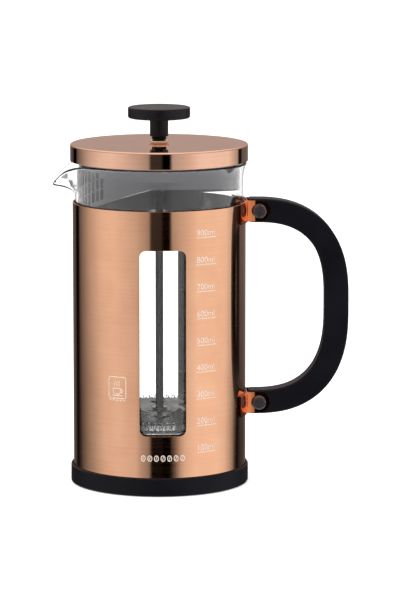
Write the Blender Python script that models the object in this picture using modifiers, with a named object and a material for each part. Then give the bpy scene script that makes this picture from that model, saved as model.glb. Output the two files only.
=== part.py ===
"""A one-litre french press: a glass beaker in a copper-plated steel sleeve, with lid, strainer and plunger.

Metres, +Z up. The origin is on the pot's axis, on the underside of the base. The handle points to +X,
the beaker's spout to -X, and the sleeve's two windows face -Y and +Y.
"""

import math

import bmesh
import bpy
from mathutils import Matrix, Vector

# Clearances
GAP = 0.0003
RUNNING_GAP = 0.0002

# Base cup and the pad that the beaker stands on
BASE_WALL = 0.0012
BASE_HEIGHT = 0.0103
BASE_FLOOR = 0.0040
BASE_EDGE = 0.0009
PAD_THICKNESS = 0.0027
PAD_INSET = 0.0077
PAD_HOLE_RADIUS = 0.0180

# Sleeve
SLEEVE_RADIUS = 0.0491
SLEEVE_WALL = 0.0008
SLEEVE_TOP = 0.1605
WINDOW_WIDTH = 0.0261
WINDOW_BOTTOM = 0.0340
WINDOW_BELOW_TOP = 0.0219
WINDOW_CORNER = 0.0038

# Glass beaker
GLASS_CLEARANCE = 0.0006
GLASS_WALL = 0.0017
GLASS_CORNER = 0.0070
RIM_ABOVE_SLEEVE = 0.0230
RIM_FLARE = 0.0021
NECK_DEPTH = 0.0085
NECK_RISE = 0.0045
SPOUT_REACH = 0.0121
SPOUT_DROP = 0.0120
SPOUT_DEPTH = 0.0100
SPOUT_RISE = 0.0011
SPOUT_TIP_ANGLE = math.radians(2.2)
SPOUT_SLOPE_ANGLE = math.radians(10)

# Lid, its ferrule, the nut below it and the bush that guides the rod
LID_OVERHANG = 0.00055
LID_WALL = 0.0008
LID_DEPTH = 0.0097
LID_EDGE = 0.0010
FERRULE_RADIUS = 0.0056
FERRULE_HEIGHT = 0.0016
FERRULE_SHANK = 0.0043
BUSH_COLLAR_INSET = 0.0011
BUSH_COLLAR_HEIGHT = 0.0014
LID_NUT_RADIUS = 0.0074
LID_NUT_HEIGHT = 0.0026

# Strainer collar under the lid
COLLAR_WALL = 0.0012
COLLAR_CLEARANCE = 0.0004
COLLAR_FLANGE = 0.0012
COLLAR_DEEP = 0.0335
DEEP_CUT_DEPTH = 0.0246
DEEP_CUT_TILT = math.radians(21.2)
DEEP_CUT_DIRECTION = math.radians(-148)
SHALLOW_CUT_DEPTH = 0.0176
SHALLOW_CUT_TILT = math.radians(8.2)
SHALLOW_CUT_DIRECTION = math.radians(-175)
SHALLOW_START = math.radians(-4)
SHALLOW_END = math.radians(146)
SLOT_COLUMNS = 12
SLOT_PITCH = math.radians(4.5)
SLOT_WIDTH = 0.0021
SLOT_FIRST = math.radians(-45.8)
SLOT_TOP = 0.0030
SLOT_MARGIN = 0.0030
SLOT_BAR = 0.0009
SLOT_BAR_DEPTHS = (0.0091, 0.0154)

# Plunger rod and knob
ROD_RADIUS = 0.0022
KNOB_RADIUS = 0.0176
KNOB_THICKNESS = 0.0064
KNOB_EDGE = 0.0012
STEM_WALL = 0.0011
STEM_LENGTH = 0.0104
STEM_FILLET = 0.0008
INSERT_WALL = 0.0013
INSERT_LENGTH = 0.0090

# Filter stack
SPRING_HEIGHT = 0.0384
SPRING_TURNS = 48
SPRING_COIL_RADIUS = 0.0029
SPRING_WIRE = 0.0005
SPRING_CLEARANCE = 0.0005
PLATE_THICKNESS = 0.0006
PLATE_LIFT = 0.0013
NOTCH_SHARE = 0.52
PLATE_HOLES = 8
PLATE_HOLE_RADIUS = 0.0046
PLATE_HOLE_CIRCLE = 0.0230
MESH_THICKNESS = 0.0004
CROSS_THICKNESS = 0.0008
CROSS_HOLES = 8
CROSS_HOLE_RADIUS = 0.0058
CROSS_HOLE_CIRCLE = 0.0235
CROSS_RIM = 0.0017
HUB_RADIUS = 0.0042
HUB_HEIGHT = 0.0017
CLAMP_NUT_RADIUS = 0.0048
CLAMP_NUT_HEIGHT = 0.0030

# Handle, its brackets and fasteners
HANDLE_WIDTH = 0.0136
HANDLE_THICKNESS = 0.0130
HANDLE_EDGE = 0.0013
HANDLE_REACH = 0.0585
HANDLE_ARM = 0.0053
HANDLE_BELOW_TOP = 0.0051
HANDLE_LOW_ARM = 0.0454
HANDLE_GRIP = 0.0080
HANDLE_TOP_CURVE = 0.0503
HANDLE_CURVE_POWER = 2.5
BRACKET_HEIGHT = 0.0120
BRACKET_THICKNESS = 0.0010
BRACKET_REACH = math.radians(26)
SCREW_OFFSET = 0.0073
SCREW_HEAD_RADIUS = 0.0039
SCREW_HEAD_HEIGHT = 0.0016
SCREW_SLOT_WIDTH = 0.0011
SCREW_SLOT_DEPTH = 0.0007
SCREW_SHANK_RADIUS = 0.0012
BARREL_RADIUS = 0.0021
BARREL_LENGTH = 0.0110
SCREW_SLOT_TURN = {"upper": math.radians(86), "lower": math.radians(-10)}

# Facets
LARGE_SEGMENTS = 48
SMALL_SEGMENTS = 24
HOLE_SEGMENTS = 16
ARC_STEPS = 3
HANDLE_STEPS = 12
CUTTER_LENGTH = 0.0100

# Heights and radii that follow from the sizes above
SLEEVE_FOOT = BASE_FLOOR + GAP
SLEEVE_BORE = SLEEVE_RADIUS - SLEEVE_WALL
WINDOW_TOP = SLEEVE_TOP - WINDOW_BELOW_TOP
BASE_BORE = SLEEVE_RADIUS + GAP
BASE_RADIUS = BASE_BORE + BASE_WALL
PAD_TOP = SLEEVE_FOOT + PAD_THICKNESS
GLASS_FOOT = PAD_TOP + GAP
GLASS_RADIUS = SLEEVE_BORE - GLASS_CLEARANCE
GLASS_BORE = GLASS_RADIUS - GLASS_WALL
PAD_RADIUS = GLASS_RADIUS - PAD_INSET
RIM_HEIGHT = SLEEVE_TOP + RIM_ABOVE_SLEEVE
RIM_RADIUS = GLASS_RADIUS + RIM_FLARE
LID_RADIUS = RIM_RADIUS + LID_OVERHANG
LID_SKIRT = RIM_HEIGHT + GAP
LID_TOP = LID_SKIRT + LID_DEPTH
LID_BORE = FERRULE_SHANK + GAP
COLLAR_RADIUS = GLASS_BORE - COLLAR_CLEARANCE
COLLAR_TOP = LID_TOP - LID_WALL - GAP
FERRULE_TOP = LID_TOP + GAP + FERRULE_HEIGHT
BUSH_BORE = ROD_RADIUS + RUNNING_GAP
BUSH_SHANK = (BUSH_BORE + FERRULE_SHANK - GAP) / 2
LID_NUT_TOP = COLLAR_TOP - COLLAR_WALL - GAP
BUSH_TOP = FERRULE_TOP + GAP + BUSH_COLLAR_HEIGHT
STEM_BOTTOM = BUSH_TOP + GAP
KNOB_BOTTOM = STEM_BOTTOM + STEM_LENGTH
KNOB_TOP = KNOB_BOTTOM + KNOB_THICKNESS
INSERT_RADIUS = ROD_RADIUS + GAP + INSERT_WALL
KNOB_BORE = INSERT_RADIUS + GAP
STEM_RADIUS = KNOB_BORE + STEM_WALL
BUSH_COLLAR_RADIUS = STEM_RADIUS - BUSH_COLLAR_INSET
INSERT_BOTTOM = STEM_BOTTOM + GAP
KNOB_BORE_TOP = INSERT_BOTTOM + INSERT_LENGTH + GAP
SPRING_RADIUS = GLASS_BORE - SPRING_CLEARANCE - SPRING_WIRE / 2 - SPRING_COIL_RADIUS
SPRING_INSIDE = SPRING_RADIUS - SPRING_COIL_RADIUS - SPRING_WIRE / 2
SPRING_BOTTOM = SPRING_HEIGHT - SPRING_COIL_RADIUS - SPRING_WIRE / 2
PLATE_BOTTOM = SPRING_HEIGHT + PLATE_LIFT
PLATE_RADIUS = SPRING_RADIUS - SPRING_COIL_RADIUS / 4
DISH_DEPTH = PLATE_BOTTOM - GAP - (SPRING_BOTTOM - GAP)
STACK_BORE = ROD_RADIUS + GAP
HANDLE_CENTRE_X = SLEEVE_RADIUS + HANDLE_REACH - HANDLE_WIDTH / 2
HANDLE_ARM_END = SLEEVE_RADIUS + HANDLE_ARM
HANDLE_TOP_ARM = SLEEVE_TOP - HANDLE_BELOW_TOP
HANDLE_LOW_CURVE = HANDLE_TOP_ARM - HANDLE_TOP_CURVE - HANDLE_GRIP - HANDLE_LOW_ARM
BRACKET_INSIDE = SLEEVE_RADIUS + GAP
BRACKET_OUTSIDE = BRACKET_INSIDE + BRACKET_THICKNESS
HANDLE_END = BRACKET_OUTSIDE + GAP
SCREW_X = SLEEVE_RADIUS + SCREW_OFFSET
CHEEK_INSIDE = HANDLE_THICKNESS / 2 + GAP
CHEEK_OUTSIDE = CHEEK_INSIDE + BRACKET_THICKNESS
HEAD_INSIDE = CHEEK_OUTSIDE + GAP
FASTENER_HOLE = BARREL_RADIUS + GAP


def clear_scene():
    for obj in list(bpy.data.objects):
        bpy.data.objects.remove(obj, do_unlink=True)


def new_collection(name):
    collection = bpy.data.collections.new(name)
    bpy.context.scene.collection.children.link(collection)
    return collection


def new_material(name, colour, roughness, metallic=0.0, alpha=1.0, transmission=0.0):
    material = bpy.data.materials.new(name)
    material.use_nodes = True
    shader = material.node_tree.nodes["Principled BSDF"]
    shader.inputs["Base Color"].default_value = (*colour, 1.0)
    shader.inputs["Roughness"].default_value = roughness
    shader.inputs["Metallic"].default_value = metallic
    shader.inputs["Alpha"].default_value = alpha
    shader.inputs["Transmission Weight"].default_value = transmission
    return material


def add_object(name, data, collection, material=None):
    obj = bpy.data.objects.new(name, data)
    collection.objects.link(obj)
    if material:
        data.materials.append(material)
    return obj


def add_mesh(name, mesh_builder, collection, material=None):
    """An object from a bmesh, shaded smooth but for its sharp edges."""
    mesh = bpy.data.meshes.new(name)
    mesh_builder.to_mesh(mesh)
    mesh_builder.free()
    mesh.shade_smooth()
    mesh.set_sharp_from_angle(angle=math.radians(40))
    return add_object(name, mesh, collection, material)


def rounded(corners, closed=False):
    """Corners (x, z, radius) as a line of points, with each radius drawn as an arc."""
    line = []
    for index, (x, z, radius) in enumerate(corners):
        here = Vector((x, z))
        at_end = not closed and index in (0, len(corners) - 1)
        if radius == 0 or at_end:
            line.append(here)
            continue
        back = (Vector(corners[index - 1][:2]) - here).normalized()
        on = (Vector(corners[(index + 1) % len(corners)][:2]) - here).normalized()
        half = back.angle(on) / 2
        centre = here + (back + on).normalized() * radius / math.sin(half)
        first = here + back * radius / math.tan(half) - centre
        last = here + on * radius / math.tan(half) - centre
        sweep = first.angle_signed(last)
        for step in range(ARC_STEPS + 1):
            turned_by = Matrix.Rotation(-sweep * step / ARC_STEPS, 2)
            line.append(centre + turned_by @ first)
    return line


def signed_area(line):
    return sum(a.x * b.y - b.x * a.y for a, b in zip(line, line[1:] + line[:1])) / 2


def turned(name, corners, segments, collection, material, closed=True):
    """A profile turned round the Z axis. It is a loop, or a line that starts and ends on the axis."""
    line = rounded(corners, closed)
    if signed_area(line) > 0:
        line.reverse()
    builder = bmesh.new()
    points = [builder.verts.new((point.x, 0, point.y)) for point in line]
    for start, end in zip(points, points[1:]):
        builder.edges.new((start, end))
    if closed:
        builder.edges.new((points[-1], points[0]))
    obj = add_mesh(name, builder, collection, material)
    screw = obj.modifiers.new("Turn", "SCREW")
    screw.steps = segments
    screw.render_steps = segments
    screw.use_merge_vertices = True
    screw.merge_threshold = 0.00001
    screw.use_smooth_shade = True
    return obj


def as_mesh(obj, collection):
    """The same object as a plain mesh, with a curve's loose caps welded to its sides."""
    bpy.context.view_layer.update()
    evaluated = obj.evaluated_get(bpy.context.evaluated_depsgraph_get())
    mesh = bpy.data.meshes.new_from_object(evaluated)
    builder = bmesh.new()
    builder.from_mesh(mesh)
    bmesh.ops.remove_doubles(builder, verts=builder.verts, dist=0.000002)
    bmesh.ops.recalc_face_normals(builder, faces=builder.faces)
    name = obj.name
    place = obj.matrix_world.copy()
    material = obj.data.materials[0] if obj.data.materials else None
    bpy.data.objects.remove(obj, do_unlink=True)
    bpy.data.meshes.remove(mesh)
    solid = add_mesh(name, builder, collection, material)
    solid.matrix_world = place
    return solid


def flat_plate(name, outline, thickness, collection, material=None):
    """A flat outline in X and Y, as thick along Z as given, centred on z = 0."""
    curve = bpy.data.curves.new(name, "CURVE")
    curve.dimensions = "2D"
    curve.fill_mode = "BOTH"
    curve.extrude = thickness / 2
    spline = curve.splines.new("POLY")
    spline.points.add(len(outline) - 1)
    for point, place in zip(spline.points, outline):
        point.co = (place[0], place[1], 0, 1)
    spline.use_cyclic_u = True
    return as_mesh(add_object(name, curve, collection, material), collection)


def box(name, size, collection, corner=0.0):
    """A box centred on the origin, with the edges along its Y axis rounded where a corner radius is given."""
    builder = bmesh.new()
    bmesh.ops.create_cube(builder, size=1.0, matrix=Matrix.Diagonal((*size, 1.0)))
    if corner:
        along = [edge for edge in builder.edges if abs(edge.verts[0].co.y - edge.verts[1].co.y) > size[1] / 2]
        bmesh.ops.bevel(
            builder, geom=along, offset=corner, segments=ARC_STEPS + 1, profile=0.5, affect="EDGES"
        )
    return add_mesh(name, builder, collection)


def cylinder(name, radius, length, segments, collection, material=None):
    """A cylinder along its Z axis, centred on the origin."""
    builder = bmesh.new()
    bmesh.ops.create_cone(
        builder, cap_ends=True, segments=segments, radius1=radius, radius2=radius, depth=length
    )
    return add_mesh(name, builder, collection, material)


def combine(target, tool, operation):
    boolean = target.modifiers.new(tool.name, "BOOLEAN")
    boolean.operation = operation
    boolean.solver = "EXACT"
    boolean.object = tool
    tool.hide_render = True
    tool.display_type = "WIRE"


def ring_cutters(name, count, circle, radius, height, collection):
    """Cylinders along Z, set round a circle, as one cutter."""
    builder = bmesh.new()
    for index in range(count):
        turn = Matrix.Rotation(math.tau * index / count, 4, "Z")
        place = turn @ Matrix.Translation((circle, 0, height))
        bmesh.ops.create_cone(
            builder, cap_ends=True, segments=HOLE_SEGMENTS, radius1=radius, radius2=radius,
            depth=CUTTER_LENGTH, matrix=place,
        )
    return add_mesh(name, builder, collection)


def camera_side(angle, radius):
    """A point on a circle, by its angle from -Y towards +X, as the strainer's directions are given."""
    return Vector((radius * math.sin(angle), -radius * math.cos(angle), 0))


# Pot


def make_base_cup(parts, material):
    corners = (
        (0, BASE_FLOOR, 0),
        (BASE_BORE, BASE_FLOOR, 0),
        (BASE_BORE, BASE_HEIGHT, 0),
        (BASE_RADIUS, BASE_HEIGHT, BASE_EDGE),
        (BASE_RADIUS, 0, BASE_EDGE),
        (0, 0, 0),
    )
    return turned("base_cup", corners, LARGE_SEGMENTS, parts, material, closed=False)


def make_base_pad(parts, material):
    corners = (
        (PAD_HOLE_RADIUS, PAD_TOP, 0),
        (PAD_RADIUS, PAD_TOP, 0),
        (PAD_RADIUS, SLEEVE_FOOT, 0),
        (PAD_HOLE_RADIUS, SLEEVE_FOOT, 0),
    )
    return turned("base_pad", corners, LARGE_SEGMENTS, parts, material)


def make_sleeve(parts, cutters, material):
    corners = (
        (SLEEVE_BORE, SLEEVE_TOP, 0),
        (SLEEVE_RADIUS, SLEEVE_TOP, 0),
        (SLEEVE_RADIUS, SLEEVE_FOOT, 0),
        (SLEEVE_BORE, SLEEVE_FOOT, 0),
    )
    sleeve = turned("sleeve", corners, LARGE_SEGMENTS, parts, material)
    window_height = WINDOW_TOP - WINDOW_BOTTOM
    window = box("window_cutter", (WINDOW_WIDTH, 3 * SLEEVE_RADIUS, window_height), cutters, WINDOW_CORNER)
    window.location.z = (WINDOW_TOP + WINDOW_BOTTOM) / 2
    combine(sleeve, window, "DIFFERENCE")
    return sleeve


def handle_centre_line():
    """The middle of the bar in X and Z: a short arm, a full round corner, the grip, and the same below."""
    reach = HANDLE_CENTRE_X - HANDLE_ARM_END
    power = 2 / HANDLE_CURVE_POWER
    corner = []
    for step in range(HANDLE_STEPS + 1):
        angle = math.pi / 2 * step / HANDLE_STEPS
        along = math.sin(angle) ** power
        down = 1 - max(math.cos(angle), 0.0) ** power
        corner.append((HANDLE_ARM_END + reach * along, down))
    line = [Vector((HANDLE_END, HANDLE_TOP_ARM))]
    line += [Vector((x, HANDLE_TOP_ARM - HANDLE_TOP_CURVE * down)) for x, down in corner]
    line += [Vector((x, HANDLE_LOW_ARM + HANDLE_LOW_CURVE * down)) for x, down in reversed(corner)]
    line.append(Vector((HANDLE_END, HANDLE_LOW_ARM)))
    return line


def beside(line, distance):
    """The line moved sideways by a distance, to its left as it runs."""
    moved = []
    for index, point in enumerate(line):
        along = line[min(index + 1, len(line) - 1)] - line[max(index - 1, 0)]
        across = Vector((-along.y, along.x)).normalized()
        moved.append(point + across * distance)
    return moved


def make_handle(parts, cutters, material):
    centre = handle_centre_line()
    outline = beside(centre, HANDLE_WIDTH / 2) + beside(centre, -HANDLE_WIDTH / 2)[::-1]
    handle = flat_plate("handle", outline, HANDLE_THICKNESS, parts, material)
    handle.rotation_euler.x = math.pi / 2
    bevel = handle.modifiers.new("Edges", "BEVEL")
    bevel.width = HANDLE_EDGE
    bevel.segments = 2
    bevel.limit_method = "ANGLE"
    bevel.angle_limit = math.radians(60)
    bevel.use_clamp_overlap = True
    for place, height in (("upper", HANDLE_TOP_ARM), ("lower", HANDLE_LOW_ARM)):
        hole = cylinder(f"handle_hole_{place}", FASTENER_HOLE, 2 * HANDLE_THICKNESS, HOLE_SEGMENTS, cutters)
        hole.rotation_euler.x = math.pi / 2
        hole.location = (SCREW_X, 0, height)
        combine(handle, hole, "DIFFERENCE")
    return handle


def cheek_outline():
    """A bracket's side plate in X and Z: square at the sleeve and round about the screw."""
    radius = BRACKET_HEIGHT / 2
    root = math.sqrt(BRACKET_OUTSIDE**2 - CHEEK_OUTSIDE**2) - BRACKET_THICKNESS / 2
    outline = [Vector((root, radius)), Vector((root, -radius))]
    for step in range(11):
        angle = math.pi * (step / 10 - 0.5)
        outline.append(Vector((SCREW_X + radius * math.cos(angle), radius * math.sin(angle))))
    return outline


def make_bracket(place, height, parts, cutters, material):
    """A strap bent round the sleeve, with two cheeks that stand out from it beside the handle."""
    half = BRACKET_HEIGHT / 2
    steps = 10
    inner = []
    outer = []
    for step in range(steps + 1):
        angle = BRACKET_REACH * (2 * step / steps - 1)
        direction = Vector((math.cos(angle), math.sin(angle)))
        inner.append(direction * BRACKET_INSIDE)
        outer.append(direction * BRACKET_OUTSIDE)
    strap = flat_plate(f"bracket_{place}", outer + inner[::-1], BRACKET_HEIGHT, parts, material)
    strap.location.z = height
    for side in (-1, 1):
        cheek = flat_plate(f"cheek_{place}_{side + 1}", cheek_outline(), BRACKET_THICKNESS, cutters)
        cheek.rotation_euler.x = math.pi / 2
        cheek.location = (0, side * (CHEEK_INSIDE + BRACKET_THICKNESS / 2), height)
        combine(strap, cheek, "UNION")
    hole = cylinder(f"bracket_hole_{place}", FASTENER_HOLE, 4 * half, HOLE_SEGMENTS, cutters)
    hole.rotation_euler.x = math.pi / 2
    hole.location = (SCREW_X, 0, height)
    combine(strap, hole, "DIFFERENCE")
    return strap


def make_handle_screw(place, height, parts, cutters, material):
    """A slotted screw from the front. Its axis is Y and its own Z axis points out of the head."""
    inner_end = -CHEEK_INSIDE + GAP
    edge = SCREW_HEAD_HEIGHT / 4
    corners = (
        (0, HEAD_INSIDE + SCREW_HEAD_HEIGHT, 0),
        (SCREW_HEAD_RADIUS, HEAD_INSIDE + SCREW_HEAD_HEIGHT, edge),
        (SCREW_HEAD_RADIUS, HEAD_INSIDE, 0),
        (SCREW_SHANK_RADIUS, HEAD_INSIDE, 0),
        (SCREW_SHANK_RADIUS, inner_end, 0),
        (0, inner_end, 0),
    )
    screw = turned(f"handle_screw_{place}", corners, SMALL_SEGMENTS, parts, material, closed=False)
    screw.rotation_euler.x = math.pi / 2
    screw.location = (SCREW_X, 0, height)
    slot = box(
        f"slot_{place}", (3 * SCREW_HEAD_RADIUS, 2 * SCREW_SLOT_DEPTH, SCREW_SLOT_WIDTH), cutters
    )
    slot.rotation_euler.y = -SCREW_SLOT_TURN[place]
    slot.location = (SCREW_X, -HEAD_INSIDE - SCREW_HEAD_HEIGHT, height)
    combine(screw, slot, "DIFFERENCE")
    return screw


def make_handle_nut(place, height, parts, material):
    """A barrel nut from the back, which takes the screw's end in its blind bore."""
    bore = SCREW_SHANK_RADIUS + GAP
    head_top = HEAD_INSIDE + SCREW_HEAD_HEIGHT
    corners = (
        (0, head_top, 0),
        (SCREW_HEAD_RADIUS, head_top, SCREW_HEAD_HEIGHT / 2),
        (SCREW_HEAD_RADIUS, HEAD_INSIDE, 0),
        (BARREL_RADIUS, HEAD_INSIDE, 0),
        (BARREL_RADIUS, HEAD_INSIDE - BARREL_LENGTH, 0),
        (bore, HEAD_INSIDE - BARREL_LENGTH, 0),
        (bore, HEAD_INSIDE, 0),
        (0, HEAD_INSIDE, 0),
    )
    nut = turned(f"handle_nut_{place}", corners, SMALL_SEGMENTS, parts, material, closed=False)
    nut.rotation_euler.x = -math.pi / 2
    nut.location = (SCREW_X, 0, height)
    return nut


# Beaker


def from_spout(angle):
    """The angle from the spout's direction, -X, between 0 and pi."""
    return abs(math.remainder(angle - math.pi, math.tau))


def spout_share(angle):
    """1 at the spout's tip, and 0 from where its lip leaves the round rim."""
    full = math.acos(RIM_RADIUS / (RIM_RADIUS + SPOUT_REACH))
    share = min(from_spout(angle) / full, 1.0)
    return (1 - share) ** 2 * (1 + 2 * share)


def rim_reach(angle):
    """The rim's radius: a circle with two tangent lines that meet in a rounded tip."""
    full = math.acos(RIM_RADIUS / (RIM_RADIUS + SPOUT_REACH))
    off = math.hypot(from_spout(angle), SPOUT_TIP_ANGLE)
    return RIM_RADIUS / math.cos(full - off) if off < full else RIM_RADIUS


def rim_level(angle):
    full = math.acos(RIM_RADIUS / (RIM_RADIUS + SPOUT_REACH))
    off = math.hypot(from_spout(angle), SPOUT_TIP_ANGLE) - SPOUT_TIP_ANGLE
    fade = max(1 - off / (1.6 * full), 0.0)
    return RIM_HEIGHT - SPOUT_DROP * math.exp(-off / SPOUT_SLOPE_ANGLE) * fade


def beaker_line(angle):
    """The beaker's outer side at one angle, from the middle of its foot to its rim, as (radius, z)."""
    line = rounded(
        (
            (0, GLASS_FOOT, 0),
            (GLASS_RADIUS, GLASS_FOOT, GLASS_CORNER),
            (GLASS_RADIUS, SLEEVE_TOP, 0),
        )
    )[1:-1]
    share = spout_share(angle)
    start = Vector((GLASS_RADIUS, RIM_HEIGHT - NECK_DEPTH - SPOUT_DEPTH * share))
    line.append(start)
    rise = NECK_RISE * (1 - share) + SPOUT_RISE * share
    run = rim_reach(angle) - GLASS_RADIUS - RIM_FLARE * share
    outer_edge = rim_level(angle) - GLASS_WALL * run / math.hypot(run, rise)
    end = Vector((rim_reach(angle), outer_edge))
    bend = end - Vector((run, rise))
    steps = 5
    for step in range(1, steps + 1):
        share = step / steps
        line.append(start.lerp(bend, share).lerp(bend.lerp(end, share), share))
    return line


def beaker_angles():
    """Angles round the beaker, closer together about the spout."""
    coarse = math.tau / LARGE_SEGMENTS
    fine = coarse / 3
    reach = 15
    spout = [math.pi + fine * step for step in range(-reach, reach + 1)]
    rest_start = spout[-1]
    rest_turn = math.tau - 2 * reach * fine
    rest_steps = round(rest_turn / coarse)
    rest = [rest_start + rest_turn * step / rest_steps for step in range(1, rest_steps)]
    return spout + rest


def make_beaker(parts, material):
    builder = bmesh.new()
    foot = builder.verts.new((0, 0, GLASS_FOOT))
    lines = []
    for angle in beaker_angles():
        verts = [
            builder.verts.new((point.x * math.cos(angle), point.x * math.sin(angle), point.y))
            for point in beaker_line(angle)
        ]
        lines.append(verts)
    for first, second in zip(lines, lines[1:] + lines[:1]):
        builder.faces.new((foot, second[0], first[0]))
        for level in range(len(first) - 1):
            builder.faces.new((first[level], second[level], second[level + 1], first[level + 1]))
    beaker = add_mesh("beaker", builder, parts, material)
    wall = beaker.modifiers.new("Wall", "SOLIDIFY")
    wall.thickness = GLASS_WALL
    wall.offset = -1
    wall.use_even_offset = True
    return beaker


# Lid


def make_lid_shell(parts, material):
    inside = LID_RADIUS - LID_WALL
    corners = (
        (LID_BORE, LID_TOP, 0),
        (LID_RADIUS, LID_TOP, LID_EDGE),
        (LID_RADIUS, LID_SKIRT, 0),
        (inside, LID_SKIRT, 0),
        (inside, LID_TOP - LID_WALL, 0),
        (LID_BORE, LID_TOP - LID_WALL, 0),
    )
    return turned("lid_shell", corners, LARGE_SEGMENTS, parts, material)


def slanted_level(angle, depth):
    """The height at one angle of a plane parallel to the collar's deep edge, so deep on the axis."""
    lean = math.cos(angle - DEEP_CUT_DIRECTION) * COLLAR_RADIUS * math.tan(DEEP_CUT_TILT)
    return RIM_HEIGHT - depth - lean


def slot_cutter(cutters):
    """Every slot of the strainer, as one cutter: columns of two or three, with slanted bars between them."""
    builder = bmesh.new()
    for column in range(SLOT_COLUMNS):
        angle = SLOT_FIRST - SLOT_PITCH * column
        edge = max(slanted_level(angle, DEEP_CUT_DEPTH), RIM_HEIGHT - COLLAR_DEEP)
        bars = [slanted_level(angle, depth) for depth in SLOT_BAR_DEPTHS]
        tops = [RIM_HEIGHT - SLOT_TOP] + [bar - SLOT_BAR / 2 for bar in bars]
        bottoms = [bar + SLOT_BAR / 2 for bar in bars] + [edge + SLOT_MARGIN]
        for upper, lower in zip(tops, bottoms):
            if upper - lower < SLOT_WIDTH:
                continue
            centre = camera_side(angle, COLLAR_RADIUS) + Vector((0, 0, (upper + lower) / 2))
            size = Matrix.Diagonal((SLOT_WIDTH, 6 * COLLAR_WALL, upper - lower, 1.0))
            place = Matrix.Translation(centre) @ Matrix.Rotation(angle, 4, "Z") @ size
            bmesh.ops.create_cube(builder, size=1.0, matrix=place)
    return add_mesh("slot_cutter", builder, cutters)


def half_space(name, depth, tilt, direction, cutters):
    """A large block below a slanted plane, which is so deep on the axis and lowest in one direction."""
    size = 6 * COLLAR_RADIUS
    block = box(name, (size, size, size), cutters)
    axis = Vector((0, 0, 1)).cross(camera_side(direction, 1))
    pivot = Matrix.Translation((0, 0, RIM_HEIGHT - depth))
    block.matrix_world = pivot @ Matrix.Rotation(tilt, 4, axis) @ Matrix.Translation((0, 0, -size / 2))
    return block


def shallow_sector(cutters):
    """A wedge over the angles at which the collar stays shallow, through its whole height."""
    outline = [Vector((0, 0))]
    steps = 12
    for step in range(steps + 1):
        angle = SHALLOW_START + (SHALLOW_END - SHALLOW_START) * step / steps
        outline.append(camera_side(angle, 2 * COLLAR_RADIUS).to_2d())
    wedge = flat_plate("shallow_sector", outline, 4 * COLLAR_DEEP, cutters)
    wedge.location.z = RIM_HEIGHT
    return wedge


def edge_cutter(cutters):
    """All below the shallow plane that is also below the deep one or in the shallow sector."""
    cutter = half_space("deep_cut", DEEP_CUT_DEPTH, DEEP_CUT_TILT, DEEP_CUT_DIRECTION, cutters)
    other = half_space("shallow_cut", SHALLOW_CUT_DEPTH, SHALLOW_CUT_TILT, SHALLOW_CUT_DIRECTION, cutters)
    combine(cutter, shallow_sector(cutters), "UNION")
    combine(cutter, other, "INTERSECT")
    return cutter


def make_strainer_collar(parts, cutters, material):
    inside = COLLAR_RADIUS - COLLAR_WALL
    flange_radius = LID_RADIUS - LID_WALL - GAP
    low = RIM_HEIGHT - COLLAR_DEEP
    corners = (
        (LID_BORE, COLLAR_TOP, 0),
        (COLLAR_RADIUS, COLLAR_TOP, COLLAR_WALL),
        (COLLAR_RADIUS, LID_SKIRT + COLLAR_FLANGE, 0),
        (flange_radius, LID_SKIRT + COLLAR_FLANGE, 0),
        (flange_radius, LID_SKIRT, 0),
        (COLLAR_RADIUS, LID_SKIRT, 0),
        (COLLAR_RADIUS, low, 0),
        (inside, low, 0),
        (inside, COLLAR_TOP - COLLAR_WALL, 0),
        (LID_BORE, COLLAR_TOP - COLLAR_WALL, 0),
    )
    collar = turned("strainer_collar", corners, LARGE_SEGMENTS, parts, material)
    combine(collar, edge_cutter(cutters), "DIFFERENCE")
    combine(collar, slot_cutter(cutters), "DIFFERENCE")
    return collar


def make_lid_ferrule(parts, material):
    bore = BUSH_SHANK + GAP
    flange_bottom = LID_TOP + GAP
    shank_end = LID_NUT_TOP - LID_NUT_HEIGHT - GAP
    corners = (
        (bore, FERRULE_TOP, 0),
        (FERRULE_RADIUS, FERRULE_TOP, FERRULE_HEIGHT / 3),
        (FERRULE_RADIUS, flange_bottom, FERRULE_HEIGHT / 3),
        (FERRULE_SHANK, flange_bottom, 0),
        (FERRULE_SHANK, shank_end, 0),
        (bore, shank_end, 0),
    )
    return turned("lid_ferrule", corners, SMALL_SEGMENTS, parts, material)


def hex_nut(name, radius, height, top, bore_radius, parts, cutters, material):
    nut = cylinder(name, radius, height, 6, parts, material)
    nut.location.z = top - height / 2
    bore = cylinder(f"{name}_bore", bore_radius, 2 * height, SMALL_SEGMENTS, cutters)
    bore.location.z = top - height / 2
    combine(nut, bore, "DIFFERENCE")
    return nut


def make_guide_bush(parts, material):
    collar_bottom = FERRULE_TOP + GAP
    shank_end = LID_NUT_TOP - LID_NUT_HEIGHT
    corners = (
        (BUSH_BORE, BUSH_TOP, 0),
        (BUSH_COLLAR_RADIUS, BUSH_TOP, 0),
        (BUSH_COLLAR_RADIUS, collar_bottom, 0),
        (BUSH_SHANK, collar_bottom, 0),
        (BUSH_SHANK, shank_end, 0),
        (BUSH_BORE, shank_end, 0),
    )
    return turned("guide_bush", corners, SMALL_SEGMENTS, parts, material)


# Plunger


def make_rod(parts, material):
    top = KNOB_BORE_TOP - GAP
    bottom = PLATE_BOTTOM - DISH_DEPTH
    rod = cylinder("plunger_rod", ROD_RADIUS, top - bottom, SMALL_SEGMENTS, parts, material)
    rod.location.z = (top + bottom) / 2
    return rod


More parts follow.
